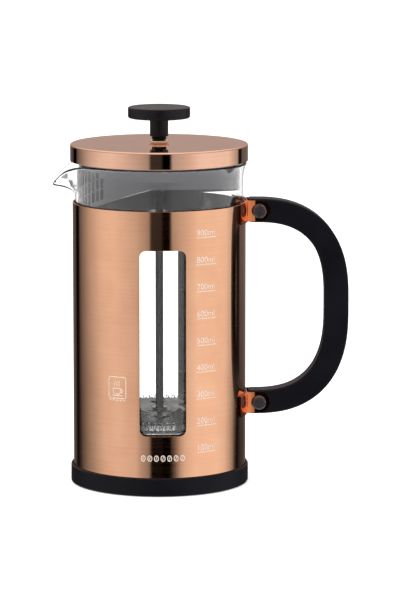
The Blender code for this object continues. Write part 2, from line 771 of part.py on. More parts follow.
def make_knob(parts, material):
    corners = (
        (0, KNOB_TOP, 0),
        (KNOB_RADIUS, KNOB_TOP, KNOB_EDGE),
        (KNOB_RADIUS, KNOB_BOTTOM, KNOB_EDGE),
        (STEM_RADIUS, KNOB_BOTTOM, STEM_FILLET),
        (STEM_RADIUS, STEM_BOTTOM, 0),
        (KNOB_BORE, STEM_BOTTOM, 0),
        (KNOB_BORE, KNOB_BORE_TOP, 0),
        (0, KNOB_BORE_TOP, 0),
    )
    return turned("knob", corners, LARGE_SEGMENTS, parts, material, closed=False)


def ring(name, inner, outer, bottom, top, parts, material):
    corners = ((inner, top, 0), (outer, top, 0), (outer, bottom, 0), (inner, bottom, 0))
    return turned(name, corners, SMALL_SEGMENTS, parts, material)


def spring_point(turn):
    """The wire's middle after so many turns of the coil, which closes on itself round the filter."""
    around = math.tau * turn / SPRING_TURNS
    coil = math.tau * turn
    radius = SPRING_RADIUS + SPRING_COIL_RADIUS * math.cos(coil)
    height = SPRING_HEIGHT + SPRING_COIL_RADIUS * math.sin(coil)
    return Vector((radius * math.cos(around), radius * math.sin(around), height))


def make_rim_spring(parts, material):
    curve = bpy.data.curves.new("rim_spring", "CURVE")
    curve.dimensions = "3D"
    curve.bevel_depth = SPRING_WIRE / 2
    curve.bevel_resolution = 0
    points_per_turn = 6
    count = SPRING_TURNS * points_per_turn
    spline = curve.splines.new("POLY")
    spline.points.add(count - 1)
    for index, point in enumerate(spline.points):
        point.co = (*spring_point(index / points_per_turn), 1)
    spline.use_cyclic_u = True
    return add_object("rim_spring", curve, parts, material)


def make_spiral_plate(parts, cutters, material):
    """The plate that carries the spring: each coil passes through a notch in its edge."""
    crossing = 0.5 - math.asin((PLATE_LIFT + PLATE_THICKNESS / 2) / SPRING_COIL_RADIUS) / math.tau
    root = SPRING_INSIDE - GAP
    pitch = math.tau / SPRING_TURNS
    notch = pitch * NOTCH_SHARE
    outline = []
    for index in range(SPRING_TURNS):
        middle = pitch * (index + crossing)
        next_middle = middle + pitch
        for radius, angle in (
            (root, middle - notch / 2),
            (root, middle + notch / 2),
            (PLATE_RADIUS, middle + notch / 2),
            (PLATE_RADIUS, next_middle - notch / 2),
        ):
            outline.append((radius * math.cos(angle), radius * math.sin(angle)))
    plate = flat_plate("spiral_plate", outline, PLATE_THICKNESS, parts, material)
    middle_height = PLATE_BOTTOM + PLATE_THICKNESS / 2
    plate.location.z = middle_height
    holes = ring_cutters(
        "spiral_holes", PLATE_HOLES, PLATE_HOLE_CIRCLE, PLATE_HOLE_RADIUS, middle_height, cutters
    )
    combine(plate, holes, "DIFFERENCE")
    bore = cylinder("spiral_bore", STACK_BORE, CUTTER_LENGTH, SMALL_SEGMENTS, cutters)
    bore.location.z = middle_height
    combine(plate, bore, "DIFFERENCE")
    return plate


def dish_corners(top, rim_radius, thickness, inset):
    """A dished disc: flat in the middle, then a slope down to a flat rim under the spring."""
    slope_end = SPRING_INSIDE - GAP - inset
    slope_start = slope_end - DISH_DEPTH / 2
    low = top - DISH_DEPTH
    shift = thickness / 2
    return (
        (STACK_BORE, top, 0),
        (slope_start, top, 0),
        (slope_end, low, 0),
        (rim_radius, low, 0),
        (rim_radius, low - thickness, 0),
        (slope_end - shift, low - thickness, 0),
        (slope_start - shift, top - thickness, 0),
        (STACK_BORE, top - thickness, 0),
    )


def make_filter_mesh(parts, material):
    corners = dish_corners(
        PLATE_BOTTOM - GAP, GLASS_BORE - SPRING_CLEARANCE, MESH_THICKNESS, SPRING_WIRE
    )
    return turned("filter_mesh", corners, LARGE_SEGMENTS, parts, material)


def make_cross_plate(parts, cutters, material):
    top = PLATE_BOTTOM - 2 * GAP - MESH_THICKNESS
    rim = GLASS_BORE - SPRING_CLEARANCE - CROSS_RIM
    corners = dish_corners(top, rim, CROSS_THICKNESS, SPRING_WIRE + MESH_THICKNESS)
    plate = turned("cross_plate", corners, LARGE_SEGMENTS, parts, material)
    holes = ring_cutters("cross_holes", CROSS_HOLES, CROSS_HOLE_CIRCLE, CROSS_HOLE_RADIUS, top, cutters)
    combine(plate, holes, "DIFFERENCE")
    return plate


def main():
    clear_scene()
    parts = new_collection("french_press")
    cutters = new_collection("cutters")

    copper = new_material("copper_plate", (0.80, 0.49, 0.34), 0.25, metallic=1.0)
    steel = new_material("bright_steel", (0.62, 0.62, 0.63), 0.20, metallic=1.0)
    dark_steel = new_material("dark_steel", (0.20, 0.20, 0.21), 0.35, metallic=1.0)
    gauze = new_material("steel_gauze", (0.50, 0.50, 0.51), 0.45, metallic=1.0)
    glass = new_material("clear_glass", (0.96, 0.98, 0.97), 0.02, alpha=0.3, transmission=1.0)
    black = new_material("black_plastic", (0.016, 0.016, 0.022), 0.42)
    grey = new_material("grey_plastic", (0.17, 0.16, 0.19), 0.30)
    rubber = new_material("pad_rubber", (0.03, 0.03, 0.03), 0.80)
    brass = new_material("insert_brass", (0.72, 0.53, 0.25), 0.35, metallic=1.0)

    make_base_cup(parts, black)
    make_base_pad(parts, rubber)
    make_sleeve(parts, cutters, copper)
    make_handle(parts, cutters, black)
    for place, height in (("upper", HANDLE_TOP_ARM), ("lower", HANDLE_LOW_ARM)):
        make_bracket(place, height, parts, cutters, copper)
        make_handle_screw(place, height, parts, cutters, dark_steel)
        make_handle_nut(place, height, parts, dark_steel)

    make_beaker(parts, glass)

    make_lid_shell(parts, copper)
    make_strainer_collar(parts, cutters, grey)
    make_lid_ferrule(parts, copper)
    make_guide_bush(parts, black)
    hex_nut(
        "lid_nut", LID_NUT_RADIUS, LID_NUT_HEIGHT, LID_NUT_TOP, LID_BORE, parts, cutters, steel
    )

    make_rod(parts, steel)
    make_knob(parts, black)
    insert_top = INSERT_BOTTOM + INSERT_LENGTH
    ring("knob_insert", ROD_RADIUS + GAP, INSERT_RADIUS, INSERT_BOTTOM, insert_top, parts, brass)
    hub_bottom = PLATE_BOTTOM + PLATE_THICKNESS + GAP
    ring("filter_hub", STACK_BORE, HUB_RADIUS, hub_bottom, hub_bottom + HUB_HEIGHT, parts, steel)
    make_spiral_plate(parts, cutters, steel)
    make_rim_spring(parts, steel)
    make_filter_mesh(parts, gauze)
    make_cross_plate(parts, cutters, steel)
    clamp_top = PLATE_BOTTOM - 3 * GAP - MESH_THICKNESS - CROSS_THICKNESS
    hex_nut(
        "clamp_nut", CLAMP_NUT_RADIUS, CLAMP_NUT_HEIGHT, clamp_top, STACK_BORE, parts, cutters, steel
    )


main()
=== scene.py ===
"""The looks of a one-litre french press in copper plate, glass and black plastic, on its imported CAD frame.

Metres, +Z up. The handle points to +X, the beaker's spout to -X, and the sleeve's windows face -Y and +Y.
"""

import math

import bmesh
import bpy
from mathutils import Matrix, Vector


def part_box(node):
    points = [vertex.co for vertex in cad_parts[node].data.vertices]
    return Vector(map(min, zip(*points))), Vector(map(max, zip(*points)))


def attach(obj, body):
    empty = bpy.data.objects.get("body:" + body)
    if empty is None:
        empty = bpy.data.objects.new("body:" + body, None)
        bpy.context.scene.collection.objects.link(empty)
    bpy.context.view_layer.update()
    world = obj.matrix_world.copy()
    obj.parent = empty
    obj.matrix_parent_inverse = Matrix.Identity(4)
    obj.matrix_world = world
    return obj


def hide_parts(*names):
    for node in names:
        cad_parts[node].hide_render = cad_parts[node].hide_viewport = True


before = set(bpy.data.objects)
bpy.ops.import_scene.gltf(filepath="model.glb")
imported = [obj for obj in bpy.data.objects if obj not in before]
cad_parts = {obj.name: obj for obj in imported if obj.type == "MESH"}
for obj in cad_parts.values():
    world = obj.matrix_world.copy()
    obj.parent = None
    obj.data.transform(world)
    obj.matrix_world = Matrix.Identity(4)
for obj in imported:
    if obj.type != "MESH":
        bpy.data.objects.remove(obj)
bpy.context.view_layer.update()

# Camera: where it stands, and the point that it looks at
CAMERA_DISTANCE = 1.99
CAMERA_HEIGHT = 0.412
CAMERA_TURN = math.radians(-2.2)
CAMERA_LENS = 212
AIM_RIGHT = 0.0234
AIM_HEIGHT = 0.1034

# Facets of the visible surfaces
LARGE_SEGMENTS = 192
SMALL_SEGMENTS = 64
ARC_STEPS = 6
PLATE_EDGE = 0.00015

# Walls and details that the CAD boxes don't give
SLEEVE_WALL = 0.0008
WINDOW_WIDTH = 0.0261
WINDOW_BOTTOM = 0.0340
WINDOW_TOP = 0.1386
WINDOW_CORNER = 0.0038
BASE_FLOOR = 0.0040
BASE_EDGE = 0.0009
GLASS_WALL = 0.0017
GLASS_CORNER = 0.0070
RIM_FLARE = 0.0021
NECK_DEPTH = 0.0085
NECK_RISE = 0.0045
SPOUT_REACH = 0.0121
SPOUT_DROP = 0.0120
SPOUT_DEPTH = 0.0100
SPOUT_RISE = 0.0011
SPOUT_TIP_ANGLE = math.radians(2.2)
SPOUT_SLOPE_ANGLE = math.radians(10)
LID_WALL = 0.0008
LID_EDGE = 0.0010
LID_BORE_STEP = 0.0013
FERRULE_BORE = 0.0035
COLLAR_BORE = 0.0046
COLLAR_WALL = 0.0012
COLLAR_FLANGE = 0.0012
COLLAR_DEEP = 0.0335
DEEP_CUT_DEPTH = 0.0246
DEEP_CUT_TILT = math.radians(21.2)
DEEP_CUT_DIRECTION = math.radians(-148)
SHALLOW_CUT_DEPTH = 0.0176
SHALLOW_CUT_TILT = math.radians(8.2)
SHALLOW_CUT_DIRECTION = math.radians(-175)
SHALLOW_START = math.radians(-4)
SHALLOW_END = math.radians(146)
SLOT_COLUMNS = 12
SLOT_PITCH = math.radians(4.5)
SLOT_WIDTH = 0.0021
SLOT_FIRST = math.radians(-45.8)
SLOT_TOP = 0.0030
SLOT_MARGIN = 0.0030
SLOT_BAR = 0.0009
SLOT_BAR_DEPTHS = (0.0091, 0.0154)
GAP = 0.0003
KNOB_THICKNESS = 0.0064
KNOB_EDGE = 0.0012
STEM_RADIUS = 0.0052
STEM_FILLET = 0.0008
SPRING_TURNS = 76
SPRING_COIL_RADIUS = 0.0029
SPRING_WIRE = 0.0005
PLATE_HOLES = 8
PLATE_HOLE_CIRCLE = 0.0230
PLATE_HOLE_RADIUS = 0.0046
PLATE_TOOTH = 0.0013
PLATE_HUB = 0.0060
PLATE_WAVE = 0.0003
PLATE_RIDGE = 0.00035
PLATE_RIDGE_STEP = 0.0052
GAUZE_THICKNESS = 0.0004
CROSS_THICKNESS = 0.0008
CROSS_HOLE_CIRCLE = 0.0235
CROSS_HOLE_RADIUS = 0.0058
HANDLE_WIDTH = 0.0136
HANDLE_EDGE = 0.0013
HANDLE_ARM_END = 0.0544
HANDLE_TOP_CURVE = 0.0503
HANDLE_LOW_CURVE = 0.0517
HANDLE_CURVE_POWER = 2.5
BRACKET_THICKNESS = 0.0010
BRACKET_REACH = math.radians(26)
BRACKET_BEND = 0.0007
CHEEK_FLARE = 0.0009
CHEEK_STRAIGHT = 0.0540
SCREW_SLOT_WIDTH = 0.0011
SCREW_SLOT_DEPTH = 0.0007
SCREW_FACE_DEPTH = 0.0002
SCREW_FACE_SHARE = 0.78
SCREW_SLOT_TURN = {"upper": math.radians(86), "lower": math.radians(-10)}

# Print on the sleeve
PRINT_LIFT = 0.00004
STROKE_STEP = 0.0008
STROKE_WIDTH = 0.00045
SCALE_ANGLE = math.radians(30.2)
SCALE_FIRST = 0.0242
SCALE_STEP = 0.01515
SCALE_MARKS = 9
SCALE_LINE = 0.0128
SCALE_TEXT = 0.0048
CUP_ANGLE = math.radians(-31)
CUP_HEIGHT = 0.0609
CUP_SIZE = 0.0108
ORNAMENT_HEIGHT = 0.0216
BEANS = 7
BEAN_PITCH = 0.0037
BEAN_WIDTH = 0.0023
BEAN_HEIGHT = 0.0032
BEAN_SEAM = 0.0022
BEAN_SEAM_BEND = 0.0003
BEAN_SEAM_WIDTH = 0.00035


# Geometry helpers


def show(name, data):
    """A new object in the scene, from its mesh, curve, light or camera."""
    obj = bpy.data.objects.new(name, data)
    bpy.context.scene.collection.objects.link(obj)
    return obj


def evaluated_mesh(obj):
    """A new mesh of the object as its modifiers or its curve make it."""
    bpy.context.view_layer.update()
    return bpy.data.meshes.new_from_object(obj.evaluated_get(bpy.context.evaluated_depsgraph_get()))


def smooth(mesh, angle=35):
    mesh.shade_smooth()
    mesh.set_sharp_from_angle(angle=math.radians(angle))


def add_mesh(name, builder, looks=(), angle=35):
    """An object from a bmesh, shaded smooth but for its sharp edges."""
    mesh = bpy.data.meshes.new(name)
    builder.to_mesh(mesh)
    builder.free()
    for look in looks:
        mesh.materials.append(materials[look])
    smooth(mesh, angle)
    return show(name, mesh)


def apply_modifiers(obj):
    mesh = evaluated_mesh(obj)
    old = obj.data
    obj.modifiers.clear()
    obj.data = mesh
    bpy.data.meshes.remove(old)


def even_shading(obj):
    """Normals that follow the large faces, so a narrow rounded edge doesn't bend the shading beside it."""
    normals = obj.modifiers.new("Normals", "WEIGHTED_NORMAL")
    normals.mode = "FACE_AREA"
    normals.weight = 50
    normals.keep_sharp = True
    apply_modifiers(obj)


def rounded(corners, closed=False, steps=ARC_STEPS):
    """Corners (x, z, radius) as a line of points, with each radius drawn as an arc."""
    line = []
    for index, (x, z, radius) in enumerate(corners):
        here = Vector((x, z))
        at_end = not closed and index in (0, len(corners) - 1)
        if radius == 0 or at_end:
            line.append(here)
            continue
        back = (Vector(corners[index - 1][:2]) - here).normalized()
        on = (Vector(corners[(index + 1) % len(corners)][:2]) - here).normalized()
        half = back.angle(on) / 2
        centre = here + (back + on).normalized() * radius / math.sin(half)
        first = here + back * radius / math.tan(half) - centre
        last = here + on * radius / math.tan(half) - centre
        sweep = first.angle_signed(last)
        for step in range(steps + 1):
            turned_by = Matrix.Rotation(-sweep * step / steps, 2)
            line.append(centre + turned_by @ first)
    return line


def turned(name, line, segments, looks, closed=True):
    """A profile (x, z) turned round the Z axis. It is a loop, or a line that starts and ends on the axis."""
    builder = bmesh.new()
    points = [builder.verts.new((point[0], 0, point[1])) for point in line]
    edges = [builder.edges.new(pair) for pair in zip(points, points[1:])]
    if closed:
        edges.append(builder.edges.new((points[-1], points[0])))
    bmesh.ops.spin(
        builder, geom=points + edges, cent=(0, 0, 0), axis=(0, 0, 1),
        angle=math.tau, steps=segments, use_merge=True,
    )
    bmesh.ops.remove_doubles(builder, verts=builder.verts, dist=0.000001)
    bmesh.ops.recalc_face_normals(builder, faces=builder.faces)
    return add_mesh(name, builder, looks)


def flat_plate(name, outline, thickness, looks=(), axis="Z"):
    """A flat outline, as thick as given, centred. Across Y, the outline's second number runs along Z."""
    builder = bmesh.new()
    half = thickness / 2
    if axis == "Z":
        verts = [builder.verts.new((x, y, -half)) for x, y in outline]
        lift = Vector((0, 0, thickness))
    else:
        verts = [builder.verts.new((x, -half, z)) for x, z in outline]
        lift = Vector((0, thickness, 0))
    face = builder.faces.new(verts)
    made = bmesh.ops.extrude_face_region(builder, geom=[face])
    raised = [item for item in made["geom"] if isinstance(item, bmesh.types.BMVert)]
    bmesh.ops.translate(builder, verts=raised, vec=lift)
    bmesh.ops.recalc_face_normals(builder, faces=builder.faces)
    return add_mesh(name, builder, looks)


def box(name, size):
    builder = bmesh.new()
    bmesh.ops.create_cube(builder, size=1.0, matrix=Matrix.Diagonal((*size, 1.0)))
    return add_mesh(name, builder)


def combine(target, tool, operation):
    """A Boolean, made part of the target's mesh, and the tool removed."""
    bpy.context.view_layer.update()
    boolean = target.modifiers.new(tool.name, "BOOLEAN")
    boolean.operation = operation
    boolean.solver = "EXACT"
    boolean.object = tool
    apply_modifiers(target)
    smooth(target.data)
    bpy.data.objects.remove(tool, do_unlink=True)


def bevel_edges(obj, width, segments=2, angle=50):
    bevel = obj.modifiers.new("Edges", "BEVEL")
    bevel.width = width
    bevel.segments = segments
    bevel.limit_method = "ANGLE"
    bevel.angle_limit = math.radians(angle)
    bevel.use_clamp_overlap = True
    apply_modifiers(obj)
    smooth(obj.data)


def camera_side(angle, radius):
    """A point on a circle, by its angle from -Y towards +X."""
    return Vector((radius * math.sin(angle), -radius * math.cos(angle), 0))


def finish_piece(obj, body, slot, *nodes):
    if obj.type == "MESH":
        even_shading(obj)
    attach(obj, body)
    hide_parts(*nodes)


def turned_piece(
    name, look, body, slot, node, corners, closed=True, segments=LARGE_SEGMENTS, steps=ARC_STEPS
):
    """A profile with rounded corners, turned into the finished piece that stands for a CAD node."""
    line = rounded(corners, closed, steps)
    finish_piece(turned(name, line, segments, [look], closed), body, slot, node)


# Materials


class Tree:
    """A node tree, with short calls to add and join nodes."""

    def __init__(self, owner):
        owner.use_nodes = True
        self.tree = owner.node_tree

    def add(self, kind, **settings):
        node = self.tree.nodes.new(kind)
        for key, value in settings.items():
            setattr(node, key, value)
        return node

    def join(self, source, target):
        self.tree.links.new(source, target)

    def math(self, operation, first, second=None):
        node = self.add("ShaderNodeMath", operation=operation)
        for index, value in enumerate((first, second)):
            if value is None:
                continue
            if isinstance(value, (int, float)):
                node.inputs[index].default_value = value
            else:
                self.join(value, node.inputs[index])
        return node.outputs[0]

    def between(self, factor, low, high, start=0.0, end=1.0):
        """A number that goes from low to high as the factor goes from start to end."""
        node = self.add("ShaderNodeMapRange")
        node.inputs["From Min"].default_value = start
        node.inputs["From Max"].default_value = end
        node.inputs["To Min"].default_value = low
        node.inputs["To Max"].default_value = high
        self.join(factor, node.inputs["Value"])
        return node.outputs[0]

    def colours(self, factor, *stops):
        """A colour ramp of (position, colour) stops."""
        node = self.add("ShaderNodeValToRGB")
        ramp = node.color_ramp
        while len(ramp.elements) < len(stops):
            ramp.elements.new(1.0)
        for element, (position, colour) in zip(ramp.elements, stops):
            element.position = position
            element.color = (*colour, 1.0)
        self.join(factor, node.inputs["Fac"])
        return node.outputs["Color"]


class Nodes(Tree):
    """A material's node tree, with its shader."""

    def __init__(self, name):
        self.material = bpy.data.materials.new(name)
        super().__init__(self.material)
        self.shader = self.tree.nodes["Principled BSDF"]

    def set(self, **values):
        for key, value in values.items():
            self.shader.inputs[key.replace("_", " ")].default_value = value

    def drive(self, socket, source):
        self.join(source, self.shader.inputs[socket])

    def place(self):
        return self.add("ShaderNodeTexCoord").outputs["Object"]

    def scaled(self, vector, scale):
        node = self.add("ShaderNodeVectorMath", operation="MULTIPLY")
        self.join(vector, node.inputs[0])
        node.inputs[1].default_value = scale
        return node.outputs[0]

    def round_the_axis(self):
        """Coordinates along and round the Z axis: (arc length at 50 mm, radius, height)."""
        split = self.add("ShaderNodeSeparateXYZ")
        self.join(self.place(), split.inputs[0])
        turn = self.math("ARCTAN2", split.outputs["Y"], split.outputs["X"])
        across = self.math("POWER", split.outputs["X"], 2)
        along = self.math("POWER", split.outputs["Y"], 2)
        radius = self.math("SQRT", self.math("ADD", across, along))
        merged = self.add("ShaderNodeCombineXYZ")
        self.join(self.math("MULTIPLY", turn, 0.05), merged.inputs["X"])
        self.join(radius, merged.inputs["Y"])
        self.join(split.outputs["Z"], merged.inputs["Z"])
        return merged.outputs[0]

    def noise(self, vector, scale, detail=4, roughness=0.5):
        node = self.add("ShaderNodeTexNoise")
        node.inputs["Scale"].default_value = scale
        node.inputs["Detail"].default_value = detail
        node.inputs["Roughness"].default_value = roughness
        self.join(vector, node.inputs["Vector"])
        return node.outputs["Fac"]

    def bump(self, height, strength, distance):
        node = self.add("ShaderNodeBump")
        node.inputs["Strength"].default_value = strength
        node.inputs["Distance"].default_value = distance
        self.join(height, node.inputs["Height"])
        self.drive("Normal", node.outputs[0])


def brushed_metal(name, dark, light, roughness, brushing, grain=(6, 6, 2600)):
    """Plate brushed round the pot: fine streaks in colour, roughness and height, and a soft mottling."""
    nodes = Nodes(name)
    nodes.set(Metallic=1.0, Anisotropic=brushing, Anisotropic_Rotation=0.25)
    around = nodes.round_the_axis()
    streaks = nodes.noise(nodes.scaled(around, grain), 1.0, 3, 0.6)
    mottle = nodes.noise(nodes.scaled(around, (60, 60, 45)), 1.0, 3)
    mixed = nodes.math("ADD", nodes.math("MULTIPLY", streaks, 0.35), nodes.math("MULTIPLY", mottle, 0.65))
    nodes.drive("Base Color", nodes.colours(mixed, (0.35, dark), (0.65, light)))
    nodes.drive("Roughness", nodes.between(streaks, roughness * 0.8, roughness * 1.25, 0.3, 0.7))
    tangent = nodes.add("ShaderNodeTangent", direction_type="RADIAL", axis="Z")
    nodes.drive("Tangent", tangent.outputs[0])
    nodes.bump(streaks, 0.05, 0.00002)
    return nodes.material


def plain_metal(name, dark, light, roughness, grain=900):
    """Plate or turned steel with a faint all-over grain."""
    nodes = Nodes(name)
    nodes.set(Metallic=1.0)
    place = nodes.place()
    fine = nodes.noise(place, grain, 3)
    broad = nodes.noise(place, grain / 12, 3)
    nodes.drive("Base Color", nodes.colours(broad, (0.35, dark), (0.65, light)))
    nodes.drive("Roughness", nodes.between(fine, roughness * 0.75, roughness * 1.3, 0.3, 0.7))
    nodes.bump(fine, 0.06, 0.00003)
    return nodes.material


def moulded_plastic(name, dark, light, roughness, gloss=0.5, grain=2600, depth=0.00002):
    """Moulded plastic with a fine spark-eroded grain and slightly polished patches."""
    nodes = Nodes(name)
    nodes.set(Specular_IOR_Level=gloss)
    place = nodes.place()
    fine = nodes.noise(place, grain, 2, 0.6)
    broad = nodes.noise(place, 55, 3)
    nodes.drive("Base Color", nodes.colours(broad, (0.3, dark), (0.7, light)))
    nodes.drive("Roughness", nodes.between(broad, roughness * 0.9, roughness * 1.12, 0.3, 0.7))
    nodes.bump(fine, 0.35, depth)
    return nodes.material


def clear_glass():
    """Clear glass with faint smears; where it is seen edge on, its green tint and painted shade darken it."""
    nodes = Nodes("beaker_glass")
    nodes.set(Transmission_Weight=1.0, IOR=1.50)
    edge = nodes.add("ShaderNodeLayerWeight")
    edge.inputs["Blend"].default_value = 0.5
    # Seen edge on, the glass turns green and dark: its own tint, with painted shade over it.
    edge_tint_and_painted_shade = nodes.colours(edge.outputs["Facing"], (0.72, (0.975, 0.99, 0.985)), (0.97, (0.50, 0.55, 0.54)))
    nodes.drive("Base Color", edge_tint_and_painted_shade)
    smears = nodes.noise(nodes.scaled(nodes.place(), (60, 60, 18)), 1.0, 4)
    nodes.drive("Roughness", nodes.between(smears, 0.0, 0.015, 0.45, 0.75))
    return nodes.material


def woven_gauze():
    """Fine steel cloth: warp and weft wires at right angles, as height, with painted shade in the openings
    between them.
    """
    nodes = Nodes("woven_gauze")
    nodes.set(Metallic=1.0)
    split = nodes.add("ShaderNodeSeparateXYZ")
    nodes.join(nodes.place(), split.inputs[0])
    wires = 2400 * math.tau
    warp = nodes.math("ABSOLUTE", nodes.math("SINE", nodes.math("MULTIPLY", split.outputs["X"], wires / 2)))
    weft = nodes.math("ABSOLUTE", nodes.math("SINE", nodes.math("MULTIPLY", split.outputs["Y"], wires / 2)))
    cloth = nodes.math("MAXIMUM", warp, weft)
    # Dark where neither wire lies, in the weave's openings: painted shade.
    nodes.drive("Base Color", nodes.colours(cloth, (0.55, (0.30, 0.30, 0.30)), (0.9, (0.93, 0.93, 0.94))))
    nodes.drive("Roughness", nodes.between(cloth, 0.4, 0.15))
    nodes.bump(cloth, 0.6, 0.00005)
    return nodes.material


def print_ink():
    nodes = Nodes("print_ink")
    wear = nodes.noise(nodes.place(), 3200, 3)
    nodes.drive("Base Color", nodes.colours(wear, (0.3, (0.66, 0.55, 0.47)), (0.7, (0.86, 0.77, 0.68))))
    nodes.drive("Roughness", nodes.between(wear, 0.45, 0.65))
    return nodes.material


BLACK = ((0.0030, 0.0030, 0.0055), (0.0045, 0.0045, 0.008))


def make_materials():
    return {
        "copper": brushed_metal("copper_sleeve", (0.875, 0.455, 0.275), (0.95, 0.53, 0.33), 0.088, 0.55),
        "copper_lid": brushed_metal(
            "copper_lid", (0.87, 0.49, 0.335), (0.93, 0.56, 0.40), 0.055, 0.3, (8, 900, 900)
        ),
        "copper_strap": plain_metal("copper_strap", (0.86, 0.25, 0.095), (0.93, 0.31, 0.13), 0.10),
        "inside": brushed_metal("sleeve_inside", (0.40, 0.40, 0.39), (0.52, 0.52, 0.50), 0.22, 0.5),
        "black": moulded_plastic("black_plastic", *BLACK, 0.40, 0.13),
        "knob": moulded_plastic("knob_plastic", *BLACK, 0.37, 0.28),
        "grey": moulded_plastic(
            "grey_plastic", (0.066, 0.060, 0.082), (0.090, 0.083, 0.108), 0.20, 0.5, 1500, 0.00001
        ),
        "rubber": moulded_plastic("pad_rubber", (0.018, 0.018, 0.018), (0.03, 0.03, 0.03), 0.75),
        "steel": plain_metal("bright_steel", (0.50, 0.50, 0.51), (0.62, 0.62, 0.62), 0.16),
        # The rod is bright steel; this near-black copy of it is painted shade.
        "rod": plain_metal("rod_steel_painted_shade", (0.022, 0.020, 0.030), (0.036, 0.034, 0.046), 0.10),
        # The spiral plate and its spring are bright steel; this darker copy of it is painted shade.
        "filter_steel_painted_shade": plain_metal("filter_steel_painted_shade", (0.10, 0.10, 0.10), (0.22, 0.22, 0.22), 0.20),
        "screw_steel": plain_metal("screw_steel", (0.13, 0.125, 0.135), (0.21, 0.205, 0.22), 0.32, 1500),
        # A paler copy of the copper plate for the lid ring: painted highlight, so that its beads shine cream.
        "copper_bead_painted_highlight": plain_metal("copper_bead_painted_highlight", (0.90, 0.66, 0.50), (0.95, 0.73, 0.58), 0.10),
        "dark_steel": plain_metal("dark_steel", (0.24, 0.24, 0.25), (0.32, 0.32, 0.33), 0.34, 1800),
        "brass": plain_metal("insert_brass", (0.62, 0.43, 0.18), (0.74, 0.55, 0.26), 0.30),
        "glass": clear_glass(),
        "gauze": woven_gauze(),
        "ink": print_ink(),
    }


materials = make_materials()


# Pot


def make_base_cup():
    low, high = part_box("base_cup")
    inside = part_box("sleeve")[1].x + GAP
    turned_piece("pot_base", "black", "pot", "black_plastic", "base_cup", (
        (0, BASE_FLOOR, 0),
        (inside, BASE_FLOOR, 0.0003),
        (inside, high.z, 0.0003),
        (high.x, high.z, BASE_EDGE),
        (high.x, low.z, BASE_EDGE),
        (0, low.z, 0),
    ), closed=False)


def sleeve_columns(radius):
    """Angles from -Y round the sleeve, with columns along the windows' sides and their rounded corners."""
    half = WINDOW_WIDTH / 2
    edge = math.asin(half / radius)
    corner_steps = 8
    inner = []
    for step in range(corner_steps + 1):
        x = half - WINDOW_CORNER + WINDOW_CORNER * math.sin(math.pi / 2 * step / corner_steps)
        inner.append(math.asin(x / radius))
    flat_steps = 10
    flat = [inner[0] * (2 * step / flat_steps - 1) for step in range(1, flat_steps)]
    window = [-angle for angle in reversed(inner)] + flat + inner
    side_steps = LARGE_SEGMENTS // 2 - 16
    side = [edge + (math.pi - 2 * edge) * step / side_steps for step in range(1, side_steps)]
    front = window + side
    return front + [angle + math.pi for angle in front]


def window_share(angle, radius):
    """How far inside a window's side a column is, in metres along X, below 0 outside the windows."""
    return WINDOW_WIDTH / 2 - abs(radius * math.sin(angle))


def make_sleeve():
    low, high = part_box("sleeve")
    radius = high.x
    builder = bmesh.new()
    columns = []
    for angle in sleeve_columns(radius):
        share = window_share(angle, radius)
        drop = max(WINDOW_CORNER - share, 0.0)
        curve = WINDOW_CORNER - math.sqrt(max(WINDOW_CORNER**2 - min(drop, WINDOW_CORNER) ** 2, 0.0))
        bottom = WINDOW_BOTTOM + curve
        top = WINDOW_TOP - curve
        heights = [low.z, bottom, top, high.z]
        place = camera_side(angle, radius)
        verts = [builder.verts.new((place.x, place.y, height)) for height in heights]
        columns.append((share > 1e-7, verts))
    for (first_open, first), (second_open, second) in zip(columns, columns[1:] + columns[:1]):
        for level in range(3):
            if level == 1 and (first_open or second_open):
                continue
            builder.faces.new((first[level], second[level], second[level + 1], first[level + 1]))
    bmesh.ops.recalc_face_normals(builder, faces=builder.faces)
    sleeve = add_mesh("pot_sleeve", builder, ["copper", "inside"])
    wall = sleeve.modifiers.new("Wall", "SOLIDIFY")
    wall.thickness = SLEEVE_WALL
    wall.offset = -1
    wall.use_even_offset = True
    wall.material_offset = 1
    wall.material_offset_rim = 0
    bevel_edges(sleeve, PLATE_EDGE)
    finish_piece(sleeve, "pot", "copper_plate", "sleeve")
    round_shading(sleeve.data)


def round_shading(mesh):
    """The faces that lie on a cylinder about Z get that cylinder's own normals."""
    corners = [corner.vector.copy() for corner in mesh.corner_normals]
    for face in mesh.polygons:
        outward = Vector((face.center.x, face.center.y, 0)).normalized()
        facing = face.normal.dot(outward)
        if abs(facing) < 0.995:
            continue
        for corner in face.loop_indices:
            place = mesh.vertices[mesh.loops[corner].vertex_index].co
            normal = Vector((place.x, place.y, 0)).normalized()
            corners[corner] = normal if facing > 0 else -normal
    mesh.normals_split_custom_set(corners)


def handle_centre_line(end, outer, top_arm, low_arm):
    """The middle of the bar in X and Z: a short arm, a full round corner, the grip, and the same below."""
    steps = 28
    reach = outer - HANDLE_WIDTH / 2 - HANDLE_ARM_END
    power = 2 / HANDLE_CURVE_POWER
    corner = []
    for step in range(steps + 1):
        angle = math.pi / 2 * step / steps
        along = math.sin(angle) ** power
        down = 1 - max(math.cos(angle), 0.0) ** power
        corner.append((HANDLE_ARM_END + reach * along, down))
    line = [Vector((end, top_arm))]
    line += [Vector((x, top_arm - HANDLE_TOP_CURVE * down)) for x, down in corner]
    line += [Vector((x, low_arm + HANDLE_LOW_CURVE * down)) for x, down in reversed(corner)]
    line.append(Vector((end, low_arm)))
    return line


def beside(line, distance):
    """The line moved sideways by a distance, to its left as it runs."""
    moved = []
    for index, point in enumerate(line):
        along = line[min(index + 1, len(line) - 1)] - line[max(index - 1, 0)]
        across = Vector((-along.y, along.x)).normalized()
        moved.append(point + across * distance)
    return moved


def arm_height(place):
    low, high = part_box(f"bracket_{place}")
    return (low.z + high.z) / 2


